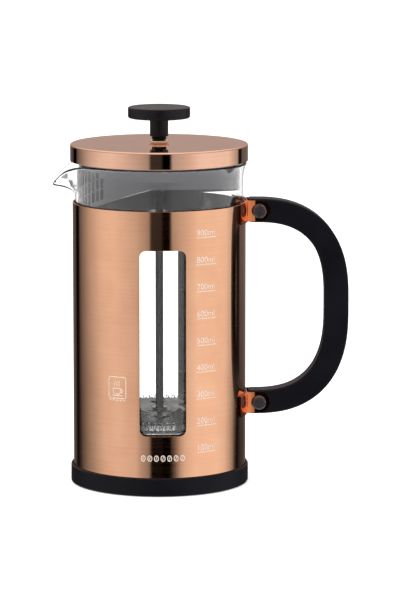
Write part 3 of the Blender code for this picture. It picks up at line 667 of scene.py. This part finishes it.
def make_handle():
    low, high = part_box("handle")
    line = handle_centre_line(low.x, high.x, arm_height("upper"), arm_height("lower"))
    outline = beside(line, HANDLE_WIDTH / 2) + beside(line, -HANDLE_WIDTH / 2)[::-1]
    handle = flat_plate("pot_handle", outline, high.y - low.y, ["black"], axis="Y")
    bevel_edges(handle, HANDLE_EDGE, 5, 60)
    finish_piece(handle, "pot", "black_plastic", "handle")


def bracket_outline(inside, cheek_in, cheek_out, end):
    """The strap and its two cheeks in X and Y: each cheek bends out to the strap at its root."""
    outside = inside + BRACKET_THICKNESS
    root_in = cheek_in + CHEEK_FLARE
    root_out = cheek_out + CHEEK_FLARE
    junction = math.asin(root_out / outside)
    bend = 2.2 * BRACKET_BEND / outside
    steps = 10
    arc = [junction + bend + (BRACKET_REACH - junction - bend) * step / steps for step in range(steps + 1)]
    slope = CHEEK_STRAIGHT - outside
    half = [
        (math.sqrt(outside**2 - root_in**2), root_in, 0.0),
        (CHEEK_STRAIGHT - slope / 2, cheek_in + 0.3 * CHEEK_FLARE, 0.0),
        (CHEEK_STRAIGHT, cheek_in, 0.0),
        (end, cheek_in, 0.0),
        (end, cheek_out, 0.0),
        (CHEEK_STRAIGHT, cheek_out, 0.0),
        (CHEEK_STRAIGHT - slope / 2, cheek_out + 0.3 * CHEEK_FLARE, 0.0),
        (math.sqrt(outside**2 - root_out**2), root_out, BRACKET_BEND),
    ]
    half += [(outside * math.cos(angle), outside * math.sin(angle), 0.0) for angle in arc]
    inner = [BRACKET_REACH * (1 - step / (2 * steps)) for step in range(4 * steps + 1)]
    back = [(inside * math.cos(angle), inside * math.sin(angle), 0.0) for angle in inner]
    mirrored = [(x, -y, radius) for x, y, radius in reversed(half)]
    return rounded(half + back + mirrored, closed=True)


def make_bracket(place):
    low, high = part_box(f"bracket_{place}")
    screw_low, screw_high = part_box(f"handle_screw_{place}")
    cheek_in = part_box("handle")[1].y + GAP
    cheek_out = cheek_in + BRACKET_THICKNESS
    height = high.z - low.z
    screw_x = (screw_low.x + screw_high.x) / 2
    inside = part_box("sleeve")[1].x + GAP
    outline = bracket_outline(inside, cheek_in, cheek_out, high.x + GAP)
    bracket = flat_plate(f"pot_bracket_{place}", outline, height, ["copper_strap"])
    bracket.location.z = arm_height(place)
    neck = inside + 2 * BRACKET_THICKNESS
    side = [(0.0, height), (0.0, -height), (inside, -height), (neck, -height / 2)]
    steps = 24
    for step in range(steps + 1):
        angle = math.pi * (step / steps - 0.5)
        side.append((screw_x + height / 2 * math.cos(angle), height / 2 * math.sin(angle)))
    side += [(neck, height / 2), (inside, height)]
    trim = flat_plate(f"bracket_trim_{place}", side, 1.0, axis="Y")
    trim.location.z = arm_height(place)
    combine(bracket, trim, "INTERSECT")
    bevel_edges(bracket, PLATE_EDGE / 2)
    finish_piece(bracket, "pot", "copper_plate", f"bracket_{place}")


def make_handle_screw(place):
    """A slotted screw head on the camera's side. Its profile is turned round Z, then laid along -Y."""
    low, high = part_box(f"handle_screw_{place}")
    radius = (high.x - low.x) / 2
    head_top = -low.y
    head_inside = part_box("handle")[1].y + 2 * GAP + BRACKET_THICKNESS
    face = head_top - SCREW_FACE_DEPTH
    line = rounded((
        (0, face, 0),
        (SCREW_FACE_SHARE * radius, face, 0),
        ((SCREW_FACE_SHARE + 0.06) * radius, head_top, 0.0001),
        (radius, head_top, (head_top - head_inside) / 3),
        (radius, head_inside, 0.0001),
        (radius / 3, head_inside, 0),
        (radius / 3, -high.y, 0),
        (0, -high.y, 0),
    ))
    screw = turned(f"pot_screw_{place}", line, SMALL_SEGMENTS, ["screw_steel"], closed=False)
    screw.rotation_euler.x = math.pi / 2
    screw.location = ((low.x + high.x) / 2, 0, arm_height(place))
    slot = box(f"screw_slot_{place}", (4 * radius, 2 * SCREW_SLOT_DEPTH, SCREW_SLOT_WIDTH))
    slot.rotation_euler.y = -SCREW_SLOT_TURN[place]
    slot.location = (screw.location.x, -head_top, screw.location.z)
    combine(screw, slot, "DIFFERENCE")
    bevel_edges(screw, PLATE_EDGE / 2, 1)
    finish_piece(screw, "pot", "dark_steel", f"handle_screw_{place}")


# Beaker


class Beaker:
    """The glass's shape, worked out from its CAD box and the walls above."""

    def __init__(self):
        low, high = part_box("beaker")
        self.foot = low.z
        self.rim_height = high.z
        self.rim_radius = high.y
        self.radius = self.rim_radius - RIM_FLARE
        self.spout_half = math.acos(self.rim_radius / (self.rim_radius + SPOUT_REACH))

    def from_spout(self, angle):
        return abs(math.remainder(angle - math.pi, math.tau))

    def spout_share(self, angle):
        share = min(self.from_spout(angle) / self.spout_half, 1.0)
        return (1 - share) ** 2 * (1 + 2 * share)

    def rim_reach(self, angle):
        off = math.hypot(self.from_spout(angle), SPOUT_TIP_ANGLE)
        return self.rim_radius / math.cos(self.spout_half - off) if off < self.spout_half else self.rim_radius

    def rim_level(self, angle):
        off = math.hypot(self.from_spout(angle), SPOUT_TIP_ANGLE) - SPOUT_TIP_ANGLE
        fade = max(1 - off / (1.6 * self.spout_half), 0.0)
        return self.rim_height - SPOUT_DROP * math.exp(-off / SPOUT_SLOPE_ANGLE) * fade

    def outer_line(self, angle):
        """The outer side at one angle, from the middle of the foot to the rim, as (radius, z)."""
        line = rounded((
            (0, self.foot, 0),
            (self.radius, self.foot, GLASS_CORNER),
            (self.radius, self.rim_height, 0),
        ), steps=10)[:-1]
        share = self.spout_share(angle)
        start = Vector((self.radius, self.rim_height - NECK_DEPTH - SPOUT_DEPTH * share))
        straight = 6
        low = line[-1]
        line += [low.lerp(start, step / straight) for step in range(1, straight + 1)]
        rise = NECK_RISE * (1 - share) + SPOUT_RISE * share
        run = self.rim_reach(angle) - self.radius - RIM_FLARE * share
        lowered = GLASS_WALL * run / math.hypot(run, rise)
        end = Vector((self.rim_reach(angle), self.rim_level(angle) - lowered))
        bend = end - Vector((run, rise))
        steps = 14
        for step in range(1, steps + 1):
            part = step / steps
            line.append(start.lerp(bend, part).lerp(bend.lerp(end, part), part))
        return line

    def loop(self, angle):
        """Outer side, round rim and inner side, from the axis back to the axis."""
        outer = self.outer_line(angle)
        inner = beside(outer, GLASS_WALL)
        inner[0] = Vector((0, self.foot + GLASS_WALL))
        middle = (outer[-1] + inner[-1]) / 2
        spoke = outer[-1] - middle
        steps = 6
        rim = [middle + Matrix.Rotation(math.pi * step / steps, 2) @ spoke for step in range(1, steps)]
        pull = (outer[-1] - outer[-2]).normalized() * GLASS_WALL / 2
        return outer[:-1] + [point - pull for point in (outer[-1], *rim, inner[-1])] + inner[-2::-1]


def beaker_angles():
    """Angles round the beaker, closer together about the spout."""
    fine = math.radians(1.0)
    reach = 45
    spout = [math.pi + fine * step for step in range(-reach, reach + 1)]
    rest_turn = math.tau - 2 * reach * fine
    rest_steps = 130
    rest = [spout[-1] + rest_turn * step / rest_steps for step in range(1, rest_steps)]
    return spout + rest


def make_beaker():
    shape = Beaker()
    builder = bmesh.new()
    rings = []
    for angle in beaker_angles():
        loop = shape.loop(angle)
        rings.append([
            builder.verts.new((point.x * math.cos(angle), point.x * math.sin(angle), point.y))
            for point in loop[1:-1]
        ])
    bottom = builder.verts.new((0, 0, shape.foot))
    floor = builder.verts.new((0, 0, shape.foot + GLASS_WALL))
    for first, second in zip(rings, rings[1:] + rings[:1]):
        builder.faces.new((bottom, second[0], first[0]))
        for level in range(len(first) - 1):
            builder.faces.new((first[level], second[level], second[level + 1], first[level + 1]))
        builder.faces.new((floor, first[-1], second[-1]))
    bmesh.ops.recalc_face_normals(builder, faces=builder.faces)
    beaker = add_mesh("glass_beaker", builder, ["glass"], 60)
    finish_piece(beaker, "beaker", "clear_glass", "beaker")


# Lid


def make_lid_shell():
    low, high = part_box("lid_shell")
    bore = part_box("lid_ferrule")[1].x - LID_BORE_STEP + GAP
    inside = high.x - LID_WALL
    turned_piece("lid_cap", "copper_lid", "lid", "copper_plate", "lid_shell", (
        (bore, high.z, 0),
        (high.x, high.z, LID_EDGE),
        (high.x, low.z, 0.0003),
        (inside, low.z, 0.0003),
        (inside, high.z - LID_WALL, 0.0005),
        (bore, high.z - LID_WALL, 0),
    ), steps=8)


class Collar:
    """The strainer's sizes, worked out from its CAD box and its neighbours."""

    def __init__(self):
        low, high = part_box("strainer_collar")
        self.top = high.z
        self.low = low.z
        self.flange_radius = high.y
        self.rim_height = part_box("beaker")[1].z
        self.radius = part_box("beaker")[1].y - RIM_FLARE - GLASS_WALL - 0.0004
        self.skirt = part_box("lid_shell")[0].z

    def slanted_level(self, angle, depth):
        """The height at one angle of a plane parallel to the collar's deep edge, so deep on the axis."""
        lean = math.cos(angle - DEEP_CUT_DIRECTION) * self.radius * math.tan(DEEP_CUT_TILT)
        return self.rim_height - depth - lean


def slot_cutter(collar):
    """Every slot of the strainer, as one cutter: columns of two or three, with slanted bars between them."""
    builder = bmesh.new()
    for column in range(SLOT_COLUMNS):
        angle = SLOT_FIRST - SLOT_PITCH * column
        edge = max(collar.slanted_level(angle, DEEP_CUT_DEPTH), collar.rim_height - COLLAR_DEEP)
        bars = [collar.slanted_level(angle, depth) for depth in SLOT_BAR_DEPTHS]
        tops = [collar.rim_height - SLOT_TOP] + [bar - SLOT_BAR / 2 for bar in bars]
        bottoms = [bar + SLOT_BAR / 2 for bar in bars] + [edge + SLOT_MARGIN]
        for upper, lower in zip(tops, bottoms):
            if upper - lower < SLOT_WIDTH:
                continue
            centre = camera_side(angle, collar.radius) + Vector((0, 0, (upper + lower) / 2))
            size = Matrix.Diagonal((SLOT_WIDTH, 6 * COLLAR_WALL, upper - lower, 1.0))
            place = Matrix.Translation(centre) @ Matrix.Rotation(angle, 4, "Z") @ size
            bmesh.ops.create_cube(builder, size=1.0, matrix=place)
    return add_mesh("slot_cutter", builder)


def half_space(collar, name, depth, tilt, direction):
    """A large block below a slanted plane, which is so deep on the axis and lowest in one direction."""
    size = 6 * collar.radius
    block = box(name, (size, size, size))
    axis = Vector((0, 0, 1)).cross(camera_side(direction, 1))
    pivot = Matrix.Translation((0, 0, collar.rim_height - depth))
    block.matrix_world = pivot @ Matrix.Rotation(tilt, 4, axis) @ Matrix.Translation((0, 0, -size / 2))
    return block


def shallow_sector(collar):
    """A wedge over the angles at which the collar stays shallow, through its whole height."""
    outline = [Vector((0, 0))]
    steps = 24
    for step in range(steps + 1):
        angle = SHALLOW_START + (SHALLOW_END - SHALLOW_START) * step / steps
        outline.append(camera_side(angle, 2 * collar.radius).to_2d())
    wedge = flat_plate("shallow_sector", outline, 4 * COLLAR_DEEP)
    wedge.location.z = collar.rim_height
    return wedge


def edge_cutter(collar):
    """All below the shallow plane that is also below the deep one or in the shallow sector."""
    cutter = half_space(collar, "deep_cut", DEEP_CUT_DEPTH, DEEP_CUT_TILT, DEEP_CUT_DIRECTION)
    other = half_space(collar, "shallow_cut", SHALLOW_CUT_DEPTH, SHALLOW_CUT_TILT, SHALLOW_CUT_DIRECTION)
    combine(cutter, shallow_sector(collar), "UNION")
    combine(cutter, other, "INTERSECT")
    return cutter


def make_strainer_collar():
    collar = Collar()
    inside = collar.radius - COLLAR_WALL
    line = rounded((
        (COLLAR_BORE, collar.top, 0),
        (collar.radius, collar.top, COLLAR_WALL),
        (collar.radius, collar.skirt + COLLAR_FLANGE, 0.0003),
        (collar.flange_radius, collar.skirt + COLLAR_FLANGE, 0.0003),
        (collar.flange_radius, collar.skirt, 0.0003),
        (collar.radius, collar.skirt, 0),
        (collar.radius, collar.low, 0),
        (inside, collar.low, 0),
        (inside, collar.top - COLLAR_WALL, 0.0008),
        (COLLAR_BORE, collar.top - COLLAR_WALL, 0),
    ), closed=True)
    piece = turned("lid_strainer", line, LARGE_SEGMENTS, ["grey"])
    combine(piece, edge_cutter(collar), "DIFFERENCE")
    combine(piece, slot_cutter(collar), "DIFFERENCE")
    finish_piece(piece, "lid", "grey_plastic", "strainer_collar")


def make_lid_ferrule():
    low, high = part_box("lid_ferrule")
    top = high.z
    flange_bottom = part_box("lid_shell")[1].z + GAP
    shank = high.x - LID_BORE_STEP
    bead = (top - flange_bottom) / 2.2
    # The ring takes the paler copper: painted highlight.
    turned_piece("lid_ring", "copper_bead_painted_highlight", "lid_bush", "copper_plate", "lid_ferrule", (
        (FERRULE_BORE, top, 0.0002),
        (high.x, top, bead),
        (high.x, flange_bottom, bead),
        (shank, flange_bottom, 0),
        (shank, low.z, 0.0002),
        (FERRULE_BORE, low.z, 0),
    ), segments=SMALL_SEGMENTS, steps=8)


def make_guide_bush():
    low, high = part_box("guide_bush")
    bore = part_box("plunger_rod")[1].x + 0.0002
    shank = (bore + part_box("lid_ferrule")[1].x - LID_BORE_STEP - GAP) / 2
    collar_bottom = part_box("lid_ferrule")[1].z + GAP
    turned_piece("lid_neck", "black", "lid_bush", "black_plastic", "guide_bush", (
        (bore, high.z, 0.0002),
        (high.x, high.z, 0.0004),
        (high.x, collar_bottom, 0.0002),
        (shank, collar_bottom, 0),
        (shank, low.z, 0.0002),
        (bore, low.z, 0.0002),
    ), segments=SMALL_SEGMENTS)


# Plunger


def make_knob():
    low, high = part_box("knob")
    under = high.z - KNOB_THICKNESS
    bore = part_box("knob_insert")[1].x + GAP
    bore_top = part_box("knob_insert")[1].z + GAP
    dish = 0.0005
    turned_piece("plunger_knob", "knob", "plunger", "black_plastic", "knob", (
        (0, high.z - dish, 0),
        (high.x - 3 * KNOB_EDGE, high.z - dish * 0.7, 0.008),
        (high.x - KNOB_EDGE, high.z, 0.0015),
        (high.x, high.z - 0.3 * KNOB_EDGE, 0.0006),
        (high.x, under, KNOB_EDGE),
        (STEM_RADIUS, under, STEM_FILLET),
        (STEM_RADIUS, low.z, 0.0005),
        (bore, low.z, 0.0003),
        (bore, bore_top, 0),
        (0, bore_top, 0),
    ), closed=False, segments=128, steps=8)


def make_rod():
    low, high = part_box("plunger_rod")
    chamfer = 0.0003
    # The shaft takes the near-black steel: painted shade.
    turned_piece("plunger_shaft", "rod", "rod", "bright_steel", "plunger_rod", (
        (0, high.z, 0),
        (high.x, high.z, chamfer),
        (high.x, low.z, chamfer),
        (0, low.z, 0),
    ), closed=False, segments=SMALL_SEGMENTS, steps=2)


def spring_place():
    """The radius and height of the coil's ring, and the radius of what fits inside it."""
    low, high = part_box("rim_spring")
    reach = SPRING_COIL_RADIUS + SPRING_WIRE / 2
    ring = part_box("filter_mesh")[1].x - reach
    return ring, (low.z + high.z) / 2, ring - reach - GAP


def make_rim_spring():
    ring, middle = spring_place()[:2]
    curve = bpy.data.curves.new("filter_spring", "CURVE")
    curve.dimensions = "3D"
    curve.bevel_depth = SPRING_WIRE / 2
    curve.bevel_resolution = 2
    per_turn = 16
    count = SPRING_TURNS * per_turn
    spline = curve.splines.new("POLY")
    spline.points.add(count - 1)
    for index, point in enumerate(spline.points):
        around = math.tau * index / count
        coil = math.tau * index / per_turn
        radius = ring + SPRING_COIL_RADIUS * math.cos(coil)
        height = middle + SPRING_COIL_RADIUS * math.sin(coil)
        point.co = (radius * math.cos(around), radius * math.sin(around), height, 1)
    spline.use_cyclic_u = True
    # The coil takes the darkened steel: painted shade.
    curve.materials.append(materials["filter_steel_painted_shade"])
    finish_piece(show("filter_spring", curve), "plunger", "bright_steel", "rim_spring")


def plate_height(radius, bottom, outer):
    """The spiral plate's lower side: two pressed rings between a flat hub and a flat rim."""
    share = (radius - PLATE_HUB) / (outer - PLATE_HUB)
    if not 0.0 < share < 1.0:
        return bottom
    ridges = PLATE_RIDGE * math.cos(math.tau * radius / PLATE_RIDGE_STEP)
    return bottom + PLATE_WAVE * math.sin(math.pi * share) + ridges


def round_holes(name, circle, radius, height):
    """A ring of round cutters for one of the filter's plates."""
    builder = bmesh.new()
    for index in range(PLATE_HOLES):
        turn = Matrix.Rotation(math.tau * index / PLATE_HOLES, 4, "Z")
        place = turn @ Matrix.Translation((circle, 0, height))
        bmesh.ops.create_cone(
            builder, cap_ends=True, segments=32, radius1=radius, radius2=radius, depth=0.01, matrix=place
        )
    return add_mesh(name, builder)


def make_spiral_plate():
    low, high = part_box("spiral_plate")
    middle, root = spring_place()[1:]
    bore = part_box("plunger_rod")[1].x + GAP
    thickness = high.z - low.z
    rings = 60
    radii = [bore + (root - bore) * step / rings for step in range(rings + 1)]
    line = [Vector((radius, plate_height(radius, low.z, root) + thickness)) for radius in radii]
    line += [Vector((radius, plate_height(radius, low.z, root))) for radius in reversed(radii)]
    # The plate takes the darkened steel: painted shade.
    plate = turned("filter_plate", line, 144, ["filter_steel_painted_shade"])
    combine(plate, round_holes("plate_holes", PLATE_HOLE_CIRCLE, PLATE_HOLE_RADIUS, low.z), "DIFFERENCE")
    teeth = bmesh.new()
    reach_out = high.x - root + GAP
    crossing = 0.5 - math.asin((low.z + thickness / 2 - middle) / SPRING_COIL_RADIUS) / math.tau
    for index in range(SPRING_TURNS):
        angle = math.tau * (index + crossing + 0.5) / SPRING_TURNS
        turn = Matrix.Rotation(angle, 4, "Z")
        size = Matrix.Diagonal((reach_out, PLATE_TOOTH, thickness, 1.0))
        place = turn @ Matrix.Translation((root - GAP + reach_out / 2, 0, low.z + thickness / 2)) @ size
        bmesh.ops.create_cube(teeth, size=1.0, matrix=place)
    combine(plate, add_mesh("plate_teeth", teeth), "UNION")
    finish_piece(plate, "plunger", "bright_steel", "spiral_plate")


def dish_line(node, thickness, inset, edge):
    """A dished disc: flat in the middle, then a slope down to a flat rim under the spring."""
    low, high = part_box(node)
    slope_end = spring_place()[2] - inset
    drop = high.z - thickness - low.z
    slope_start = slope_end - drop / 2
    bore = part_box("plunger_rod")[1].x + GAP
    shift = thickness / 2
    return rounded((
        (bore, high.z, 0),
        (slope_start, high.z, 0.001),
        (slope_end, high.z - drop, 0.001),
        (high.x, high.z - drop, edge),
        (high.x, low.z, edge),
        (slope_end - shift, low.z, 0.001),
        (slope_start - shift, high.z - thickness, 0.001),
        (bore, high.z - thickness, 0),
    ), closed=True)


def make_filter_mesh():
    line = dish_line("filter_mesh", GAUZE_THICKNESS, SPRING_WIRE, 0.0001)
    mesh = turned("filter_gauze", line, 144, ["gauze"])
    finish_piece(mesh, "plunger", "steel_gauze", "filter_mesh")


def make_cross_plate():
    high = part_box("cross_plate")[1]
    line = dish_line("cross_plate", CROSS_THICKNESS, SPRING_WIRE + GAUZE_THICKNESS, 0.0002)
    plate = turned("filter_cross", line, 144, ["steel"])
    combine(plate, round_holes("cross_holes", CROSS_HOLE_CIRCLE, CROSS_HOLE_RADIUS, high.z), "DIFFERENCE")
    finish_piece(plate, "plunger", "bright_steel", "cross_plate")


# Print on the sleeve


def on_sleeve(obj, angle, height):
    """A flat piece in X and Y is laid on the sleeve, with its origin at an angle from -Y and a height."""
    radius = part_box("sleeve")[1].x + PRINT_LIFT
    for vert in obj.data.vertices:
        place = camera_side(angle + vert.co.x / radius, radius + vert.co.z)
        vert.co = (place.x, place.y, height + vert.co.y)
    obj.data.update()
    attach(obj, "pot")


def text_piece(name, words, size):
    """Generic figures in Blender's own font, as a thin mesh."""
    curve = bpy.data.curves.new(name, "FONT")
    curve.body = words
    curve.size = size
    curve.extrude = PRINT_LIFT / 2
    curve.align_x = "LEFT"
    text = show(name, curve)
    mesh = evaluated_mesh(text)
    bpy.data.objects.remove(text, do_unlink=True)
    mesh.materials.clear()
    mesh.materials.append(materials["ink"])
    return show(name, mesh)


def stroke(builder, corners, width, closed=False):
    """A line of even width through points in X and Y, as a thin flat band with short steps."""
    points = []
    corners = [Vector(corner) for corner in corners]
    for start, end in zip(corners, corners[1:] + corners[:closed]):
        steps = max(1, math.ceil((end - start).length / STROKE_STEP))
        points += [start.lerp(end, step / steps) for step in range(steps)]
    if not closed:
        points.append(corners[-1])
    last = len(points) - 1
    sides = []
    for index, point in enumerate(points):
        before = points[index - 1] if closed or index else point
        after = points[(index + 1) % len(points)] if closed or index < last else point
        along = (after - before).normalized()
        across = Vector((-along.y, along.x)) * width / 2
        left = point + across
        right = point - across
        ring = [(left, 1), (right, 1), (right, -1), (left, -1)]
        sides.append([builder.verts.new((place.x, place.y, up * PRINT_LIFT / 2)) for place, up in ring])
    for first, second in zip(sides, sides[1:] + sides[:closed]):
        for side in range(4):
            on = (side + 1) % 4
            builder.faces.new((first[side], first[on], second[on], second[side]))
    if not closed:
        builder.faces.new(reversed(sides[0]))
        builder.faces.new(sides[-1])


def print_piece(name, builder, angle, height):
    bmesh.ops.recalc_face_normals(builder, faces=builder.faces)
    on_sleeve(add_mesh(name, builder, ["ink"]), angle, height)


def line_points(start, end, steps=8):
    return [Vector(start).lerp(Vector(end), step / steps) for step in range(steps + 1)]


def make_scale():
    """Marks every 100 ml, each a line with its figure above it."""
    for mark in range(SCALE_MARKS):
        height = SCALE_FIRST + SCALE_STEP * mark
        builder = bmesh.new()
        stroke(builder, line_points((-SCALE_LINE / 2, 0), (SCALE_LINE / 2, 0), 14), STROKE_WIDTH)
        print_piece(f"scale_line_{mark + 1}", builder, SCALE_ANGLE, height)
        words = text_piece(f"scale_figure_{mark + 1}", f"{mark + 1}00ml", SCALE_TEXT)
        for vert in words.data.vertices:
            vert.co.x -= SCALE_LINE / 2
        on_sleeve(words, SCALE_ANGLE, height + 0.0011)


def arc_points(centre, radius, start, end, steps=10):
    made = []
    for step in range(steps + 1):
        angle = math.radians(start + (end - start) * step / steps)
        made.append((centre[0] + radius * math.cos(angle), centre[1] + radius * math.sin(angle)))
    return made


def make_cup_sign():
    """A pictogram: a cup on its saucer with steam above it, in a round-cornered frame."""
    half = CUP_SIZE / 2
    width = 0.00042
    corner = 0.0011
    builder = bmesh.new()
    outline = []
    for x, y, start in ((1, 1, 0), (-1, 1, 90), (-1, -1, 180), (1, -1, 270)):
        centre = (x * (half - corner), y * (half * 1.12 - corner))
        outline += arc_points(centre, corner, start, start + 90, 5)
    stroke(builder, outline, width, closed=True)
    cup = [(-0.0026, -0.0004), (-0.0024, -0.0028), (-0.0018, -0.0036), (0.0014, -0.0036), (0.0020, -0.0028),
           (0.0022, -0.0004)]
    stroke(builder, cup, width, closed=True)
    stroke(builder, arc_points((0.0023, -0.0018), 0.0010, 80, -80), width)
    stroke(builder, line_points((-0.0034, -0.0045), (0.0032, -0.0045)), width)
    for column in (-0.0016, -0.0002, 0.0012):
        steam = [(column + 0.00035 * math.sin(step * 1.1), 0.0006 + step * 0.00042) for step in range(9)]
        stroke(builder, steam, width * 0.8)
    print_piece("cup_sign", builder, CUP_ANGLE, CUP_HEIGHT)
    rules = bmesh.new()
    for column in range(5):
        x = -half + CUP_SIZE * (column + 0.5) / 5
        stroke(rules, line_points((x - 0.0007, -0.0071), (x + 0.0007, -0.0071), 2), width)
    print_piece("cup_sign_rule", rules, CUP_ANGLE, CUP_HEIGHT)


def make_ornament():
    """A plain row of coffee beans where a maker would print a name."""
    builder = bmesh.new()
    turns = [math.tau * step / 20 for step in range(20)]
    for place in range(BEANS):
        x = (place - BEANS // 2) * BEAN_PITCH
        bean = [(x + BEAN_WIDTH / 2 * math.cos(turn), BEAN_HEIGHT / 2 * math.sin(turn)) for turn in turns]
        stroke(builder, bean, STROKE_WIDTH, closed=True)
        seam = [
            (x + BEAN_SEAM_BEND * math.sin(math.pi * step / 4), BEAN_SEAM / 2 * (1 - step / 4))
            for step in range(9)
        ]
        stroke(builder, seam, BEAN_SEAM_WIDTH)
    print_piece("bean_row", builder, 0.0, ORNAMENT_HEIGHT)


# CAD nodes that stay, with their materials


def paint_cad_nodes():
    kept = {
        "base_pad": "rubber",
        "handle_nut_upper": "dark_steel",
        "handle_nut_lower": "dark_steel",
        "lid_nut": "steel",
        "knob_insert": "brass",
        "filter_hub": "steel",
        "clamp_nut": "steel",
    }
    for node, finish in kept.items():
        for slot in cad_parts[node].material_slots:
            slot.material = materials[finish]


# Studio: floor, light and camera

# The ring of light round the pot, as (degrees from -Y towards +X, brightness), level with the horizon and low
LEVEL_RING = (
    (-180, 0.30), (-165, 0.13), (-150, 0.06), (-146, 0.0), (-138, 0.0), (-134, 0.12), (-120, 0.33),
    (-105, 0.60), (-85, 0.85), (-65, 0.90), (-45, 0.72), (-30, 0.59), (-16, 0.42), (-13, 0.045), (0, 0.04),
    (3, 0.0), (12, 0.0), (15, 0.52), (30, 0.66), (50, 0.94), (98, 0.95), (112, 0.62), (120, 0.45),
    (123, 0.01), (131, 0.01), (134, 0.14), (150, 0.14), (165, 0.22), (180, 0.30),
)
LOW_RING = (
    (-180, 0.30), (-165, 0.12), (-150, 0.05), (-146, 0.0), (-134, 0.03), (-116, 0.22), (-102, 0.38),
    (-90, 0.58), (-79, 0.74), (-59, 0.82), (-34, 0.73), (-26, 0.45), (-17, 0.31), (-13, 0.0), (15, 0.0),
    (19, 0.12), (24, 0.46), (32, 0.80), (49, 0.99), (80, 0.98), (94, 0.84), (106, 0.50), (112, 0.30),
    (118, 0.02), (124, 0.0), (132, 0.03), (145, 0.055), (155, 0.08), (170, 0.22), (180, 0.30),
)
LEVEL_DEGREES = -7.8
LOW_DEGREES = -11.3

# Above and below the ring: each light's colour, and the heights in degrees over which it fades in
FLOOR_LIGHT = (0.9, 0.9, 0.9)
FLOOR_DEGREES = (-18, -30)
BACK_LIGHT = (0.46, 0.375, 0.335)
BACK_DEGREES = (-3, 2)
CEILING_LIGHT = (1.0, 1.0, 1.0)
CEILING_DEGREES = (14, 40)


def make_floor():
    builder = bmesh.new()
    bmesh.ops.create_grid(builder, x_segments=1, y_segments=1, size=3.0)
    nodes = Nodes("pale_floor")
    white = (1.0, 1.0, 1.0, 1.0)
    nodes.set(Base_Color=(0.9, 0.9, 0.9, 1.0), Roughness=0.9, Emission_Color=white, Emission_Strength=0.35)
    floor = add_mesh("floor", builder)
    floor.data.materials.append(nodes.material)
    floor.location.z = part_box("base_cup")[0].z - 0.0002
    floor.visible_glossy = False


def ring_brightness(tree, turn, ring):
    """The light's brightness by its direction round the pot, as a colour ramp over a full turn."""
    stops = [((degrees + 180) / 360, (brightness,) * 3) for degrees, brightness in ring]
    return tree.colours(turn, *stops)


def make_world():
    """A studio as a ring of light and dark panels round the pot, with a bright ceiling."""
    world = bpy.data.worlds.new("studio")
    bpy.context.scene.world = world
    tree = Tree(world)
    tree.tree.nodes.clear()
    split = tree.add("ShaderNodeSeparateXYZ")
    tree.join(tree.add("ShaderNodeTexCoord").outputs["Generated"], split.inputs[0])
    turn = tree.math("ARCTAN2", split.outputs["X"], tree.math("MULTIPLY", split.outputs["Y"], -1.0))
    turn = tree.math("ADD", tree.math("DIVIDE", turn, math.tau), 0.5)
    rise = tree.math("ARCSINE", split.outputs["Z"])

    def blend(first, second, start, end):
        """From one colour to another as the direction's height goes from start to end, in degrees."""
        mix = tree.add("ShaderNodeMix", data_type="RGBA")
        tree.join(tree.between(rise, 0.0, 1.0, math.radians(start), math.radians(end)), mix.inputs["Factor"])
        for key, value in (("A", first), ("B", second)):
            socket = [item for item in mix.inputs if item.name == key and item.type == "RGBA"][0]
            if isinstance(value, tuple):
                socket.default_value = (*value, 1.0)
            else:
                tree.join(value, socket)
        return [item for item in mix.outputs if item.type == "RGBA"][0]

    level = ring_brightness(tree, turn, LEVEL_RING)
    low = ring_brightness(tree, turn, LOW_RING)
    ring = blend(level, low, LEVEL_DEGREES, LOW_DEGREES)
    floor = blend(ring, FLOOR_LIGHT, *FLOOR_DEGREES)
    back = blend(floor, BACK_LIGHT, *BACK_DEGREES)
    ceiling = blend(back, CEILING_LIGHT, *CEILING_DEGREES)
    light = tree.add("ShaderNodeBackground")
    tree.join(ceiling, light.inputs["Color"])
    backdrop = tree.add("ShaderNodeBackground")
    backdrop.inputs["Color"].default_value = (1.0, 1.0, 1.0, 1.0)
    backdrop.inputs["Strength"].default_value = 1.1
    seen = tree.add("ShaderNodeMixShader")
    tree.join(tree.add("ShaderNodeLightPath").outputs["Is Camera Ray"], seen.inputs[0])
    tree.join(light.outputs[0], seen.inputs[1])
    tree.join(backdrop.outputs[0], seen.inputs[2])
    tree.join(seen.outputs[0], tree.add("ShaderNodeOutputWorld").inputs["Surface"])


def make_lights():
    """A large soft light overhead, which brightens the floor and isn't mirrored in the metal."""
    lamp = bpy.data.lights.new("overhead", "AREA")
    lamp.shape = "DISK"
    lamp.size = 2.4
    lamp.energy = 30
    overhead = show("overhead", lamp)
    overhead.location = (0, 0, 1.8)
    overhead.visible_glossy = False
    overhead.visible_transmission = False


def make_camera():
    scene = bpy.context.scene
    forward = Vector((-math.sin(CAMERA_TURN), math.cos(CAMERA_TURN), 0))
    right = Vector((forward.y, -forward.x, 0))
    data = bpy.data.cameras.new("camera")
    data.lens = CAMERA_LENS
    data.clip_start = 0.1
    camera = show("camera", data)
    camera.location = -forward * CAMERA_DISTANCE + Vector((0, 0, CAMERA_HEIGHT))
    aim = right * AIM_RIGHT + Vector((0, 0, AIM_HEIGHT))
    camera.rotation_euler = (aim - camera.location).to_track_quat("-Z", "Y").to_euler()
    scene.camera = camera
    scene.view_settings.view_transform = "Standard"


def main():
    make_base_cup()
    make_sleeve()
    make_handle()
    for place in ("upper", "lower"):
        make_bracket(place)
        make_handle_screw(place)
    make_beaker()
    make_lid_shell()
    make_strainer_collar()
    make_lid_ferrule()
    make_guide_bush()
    make_knob()
    make_rod()
    make_rim_spring()
    make_spiral_plate()
    make_filter_mesh()
    make_cross_plate()
    make_scale()
    make_cup_sign()
    make_ornament()
    paint_cad_nodes()
    make_floor()
    make_world()
    make_lights()
    make_camera()


main()
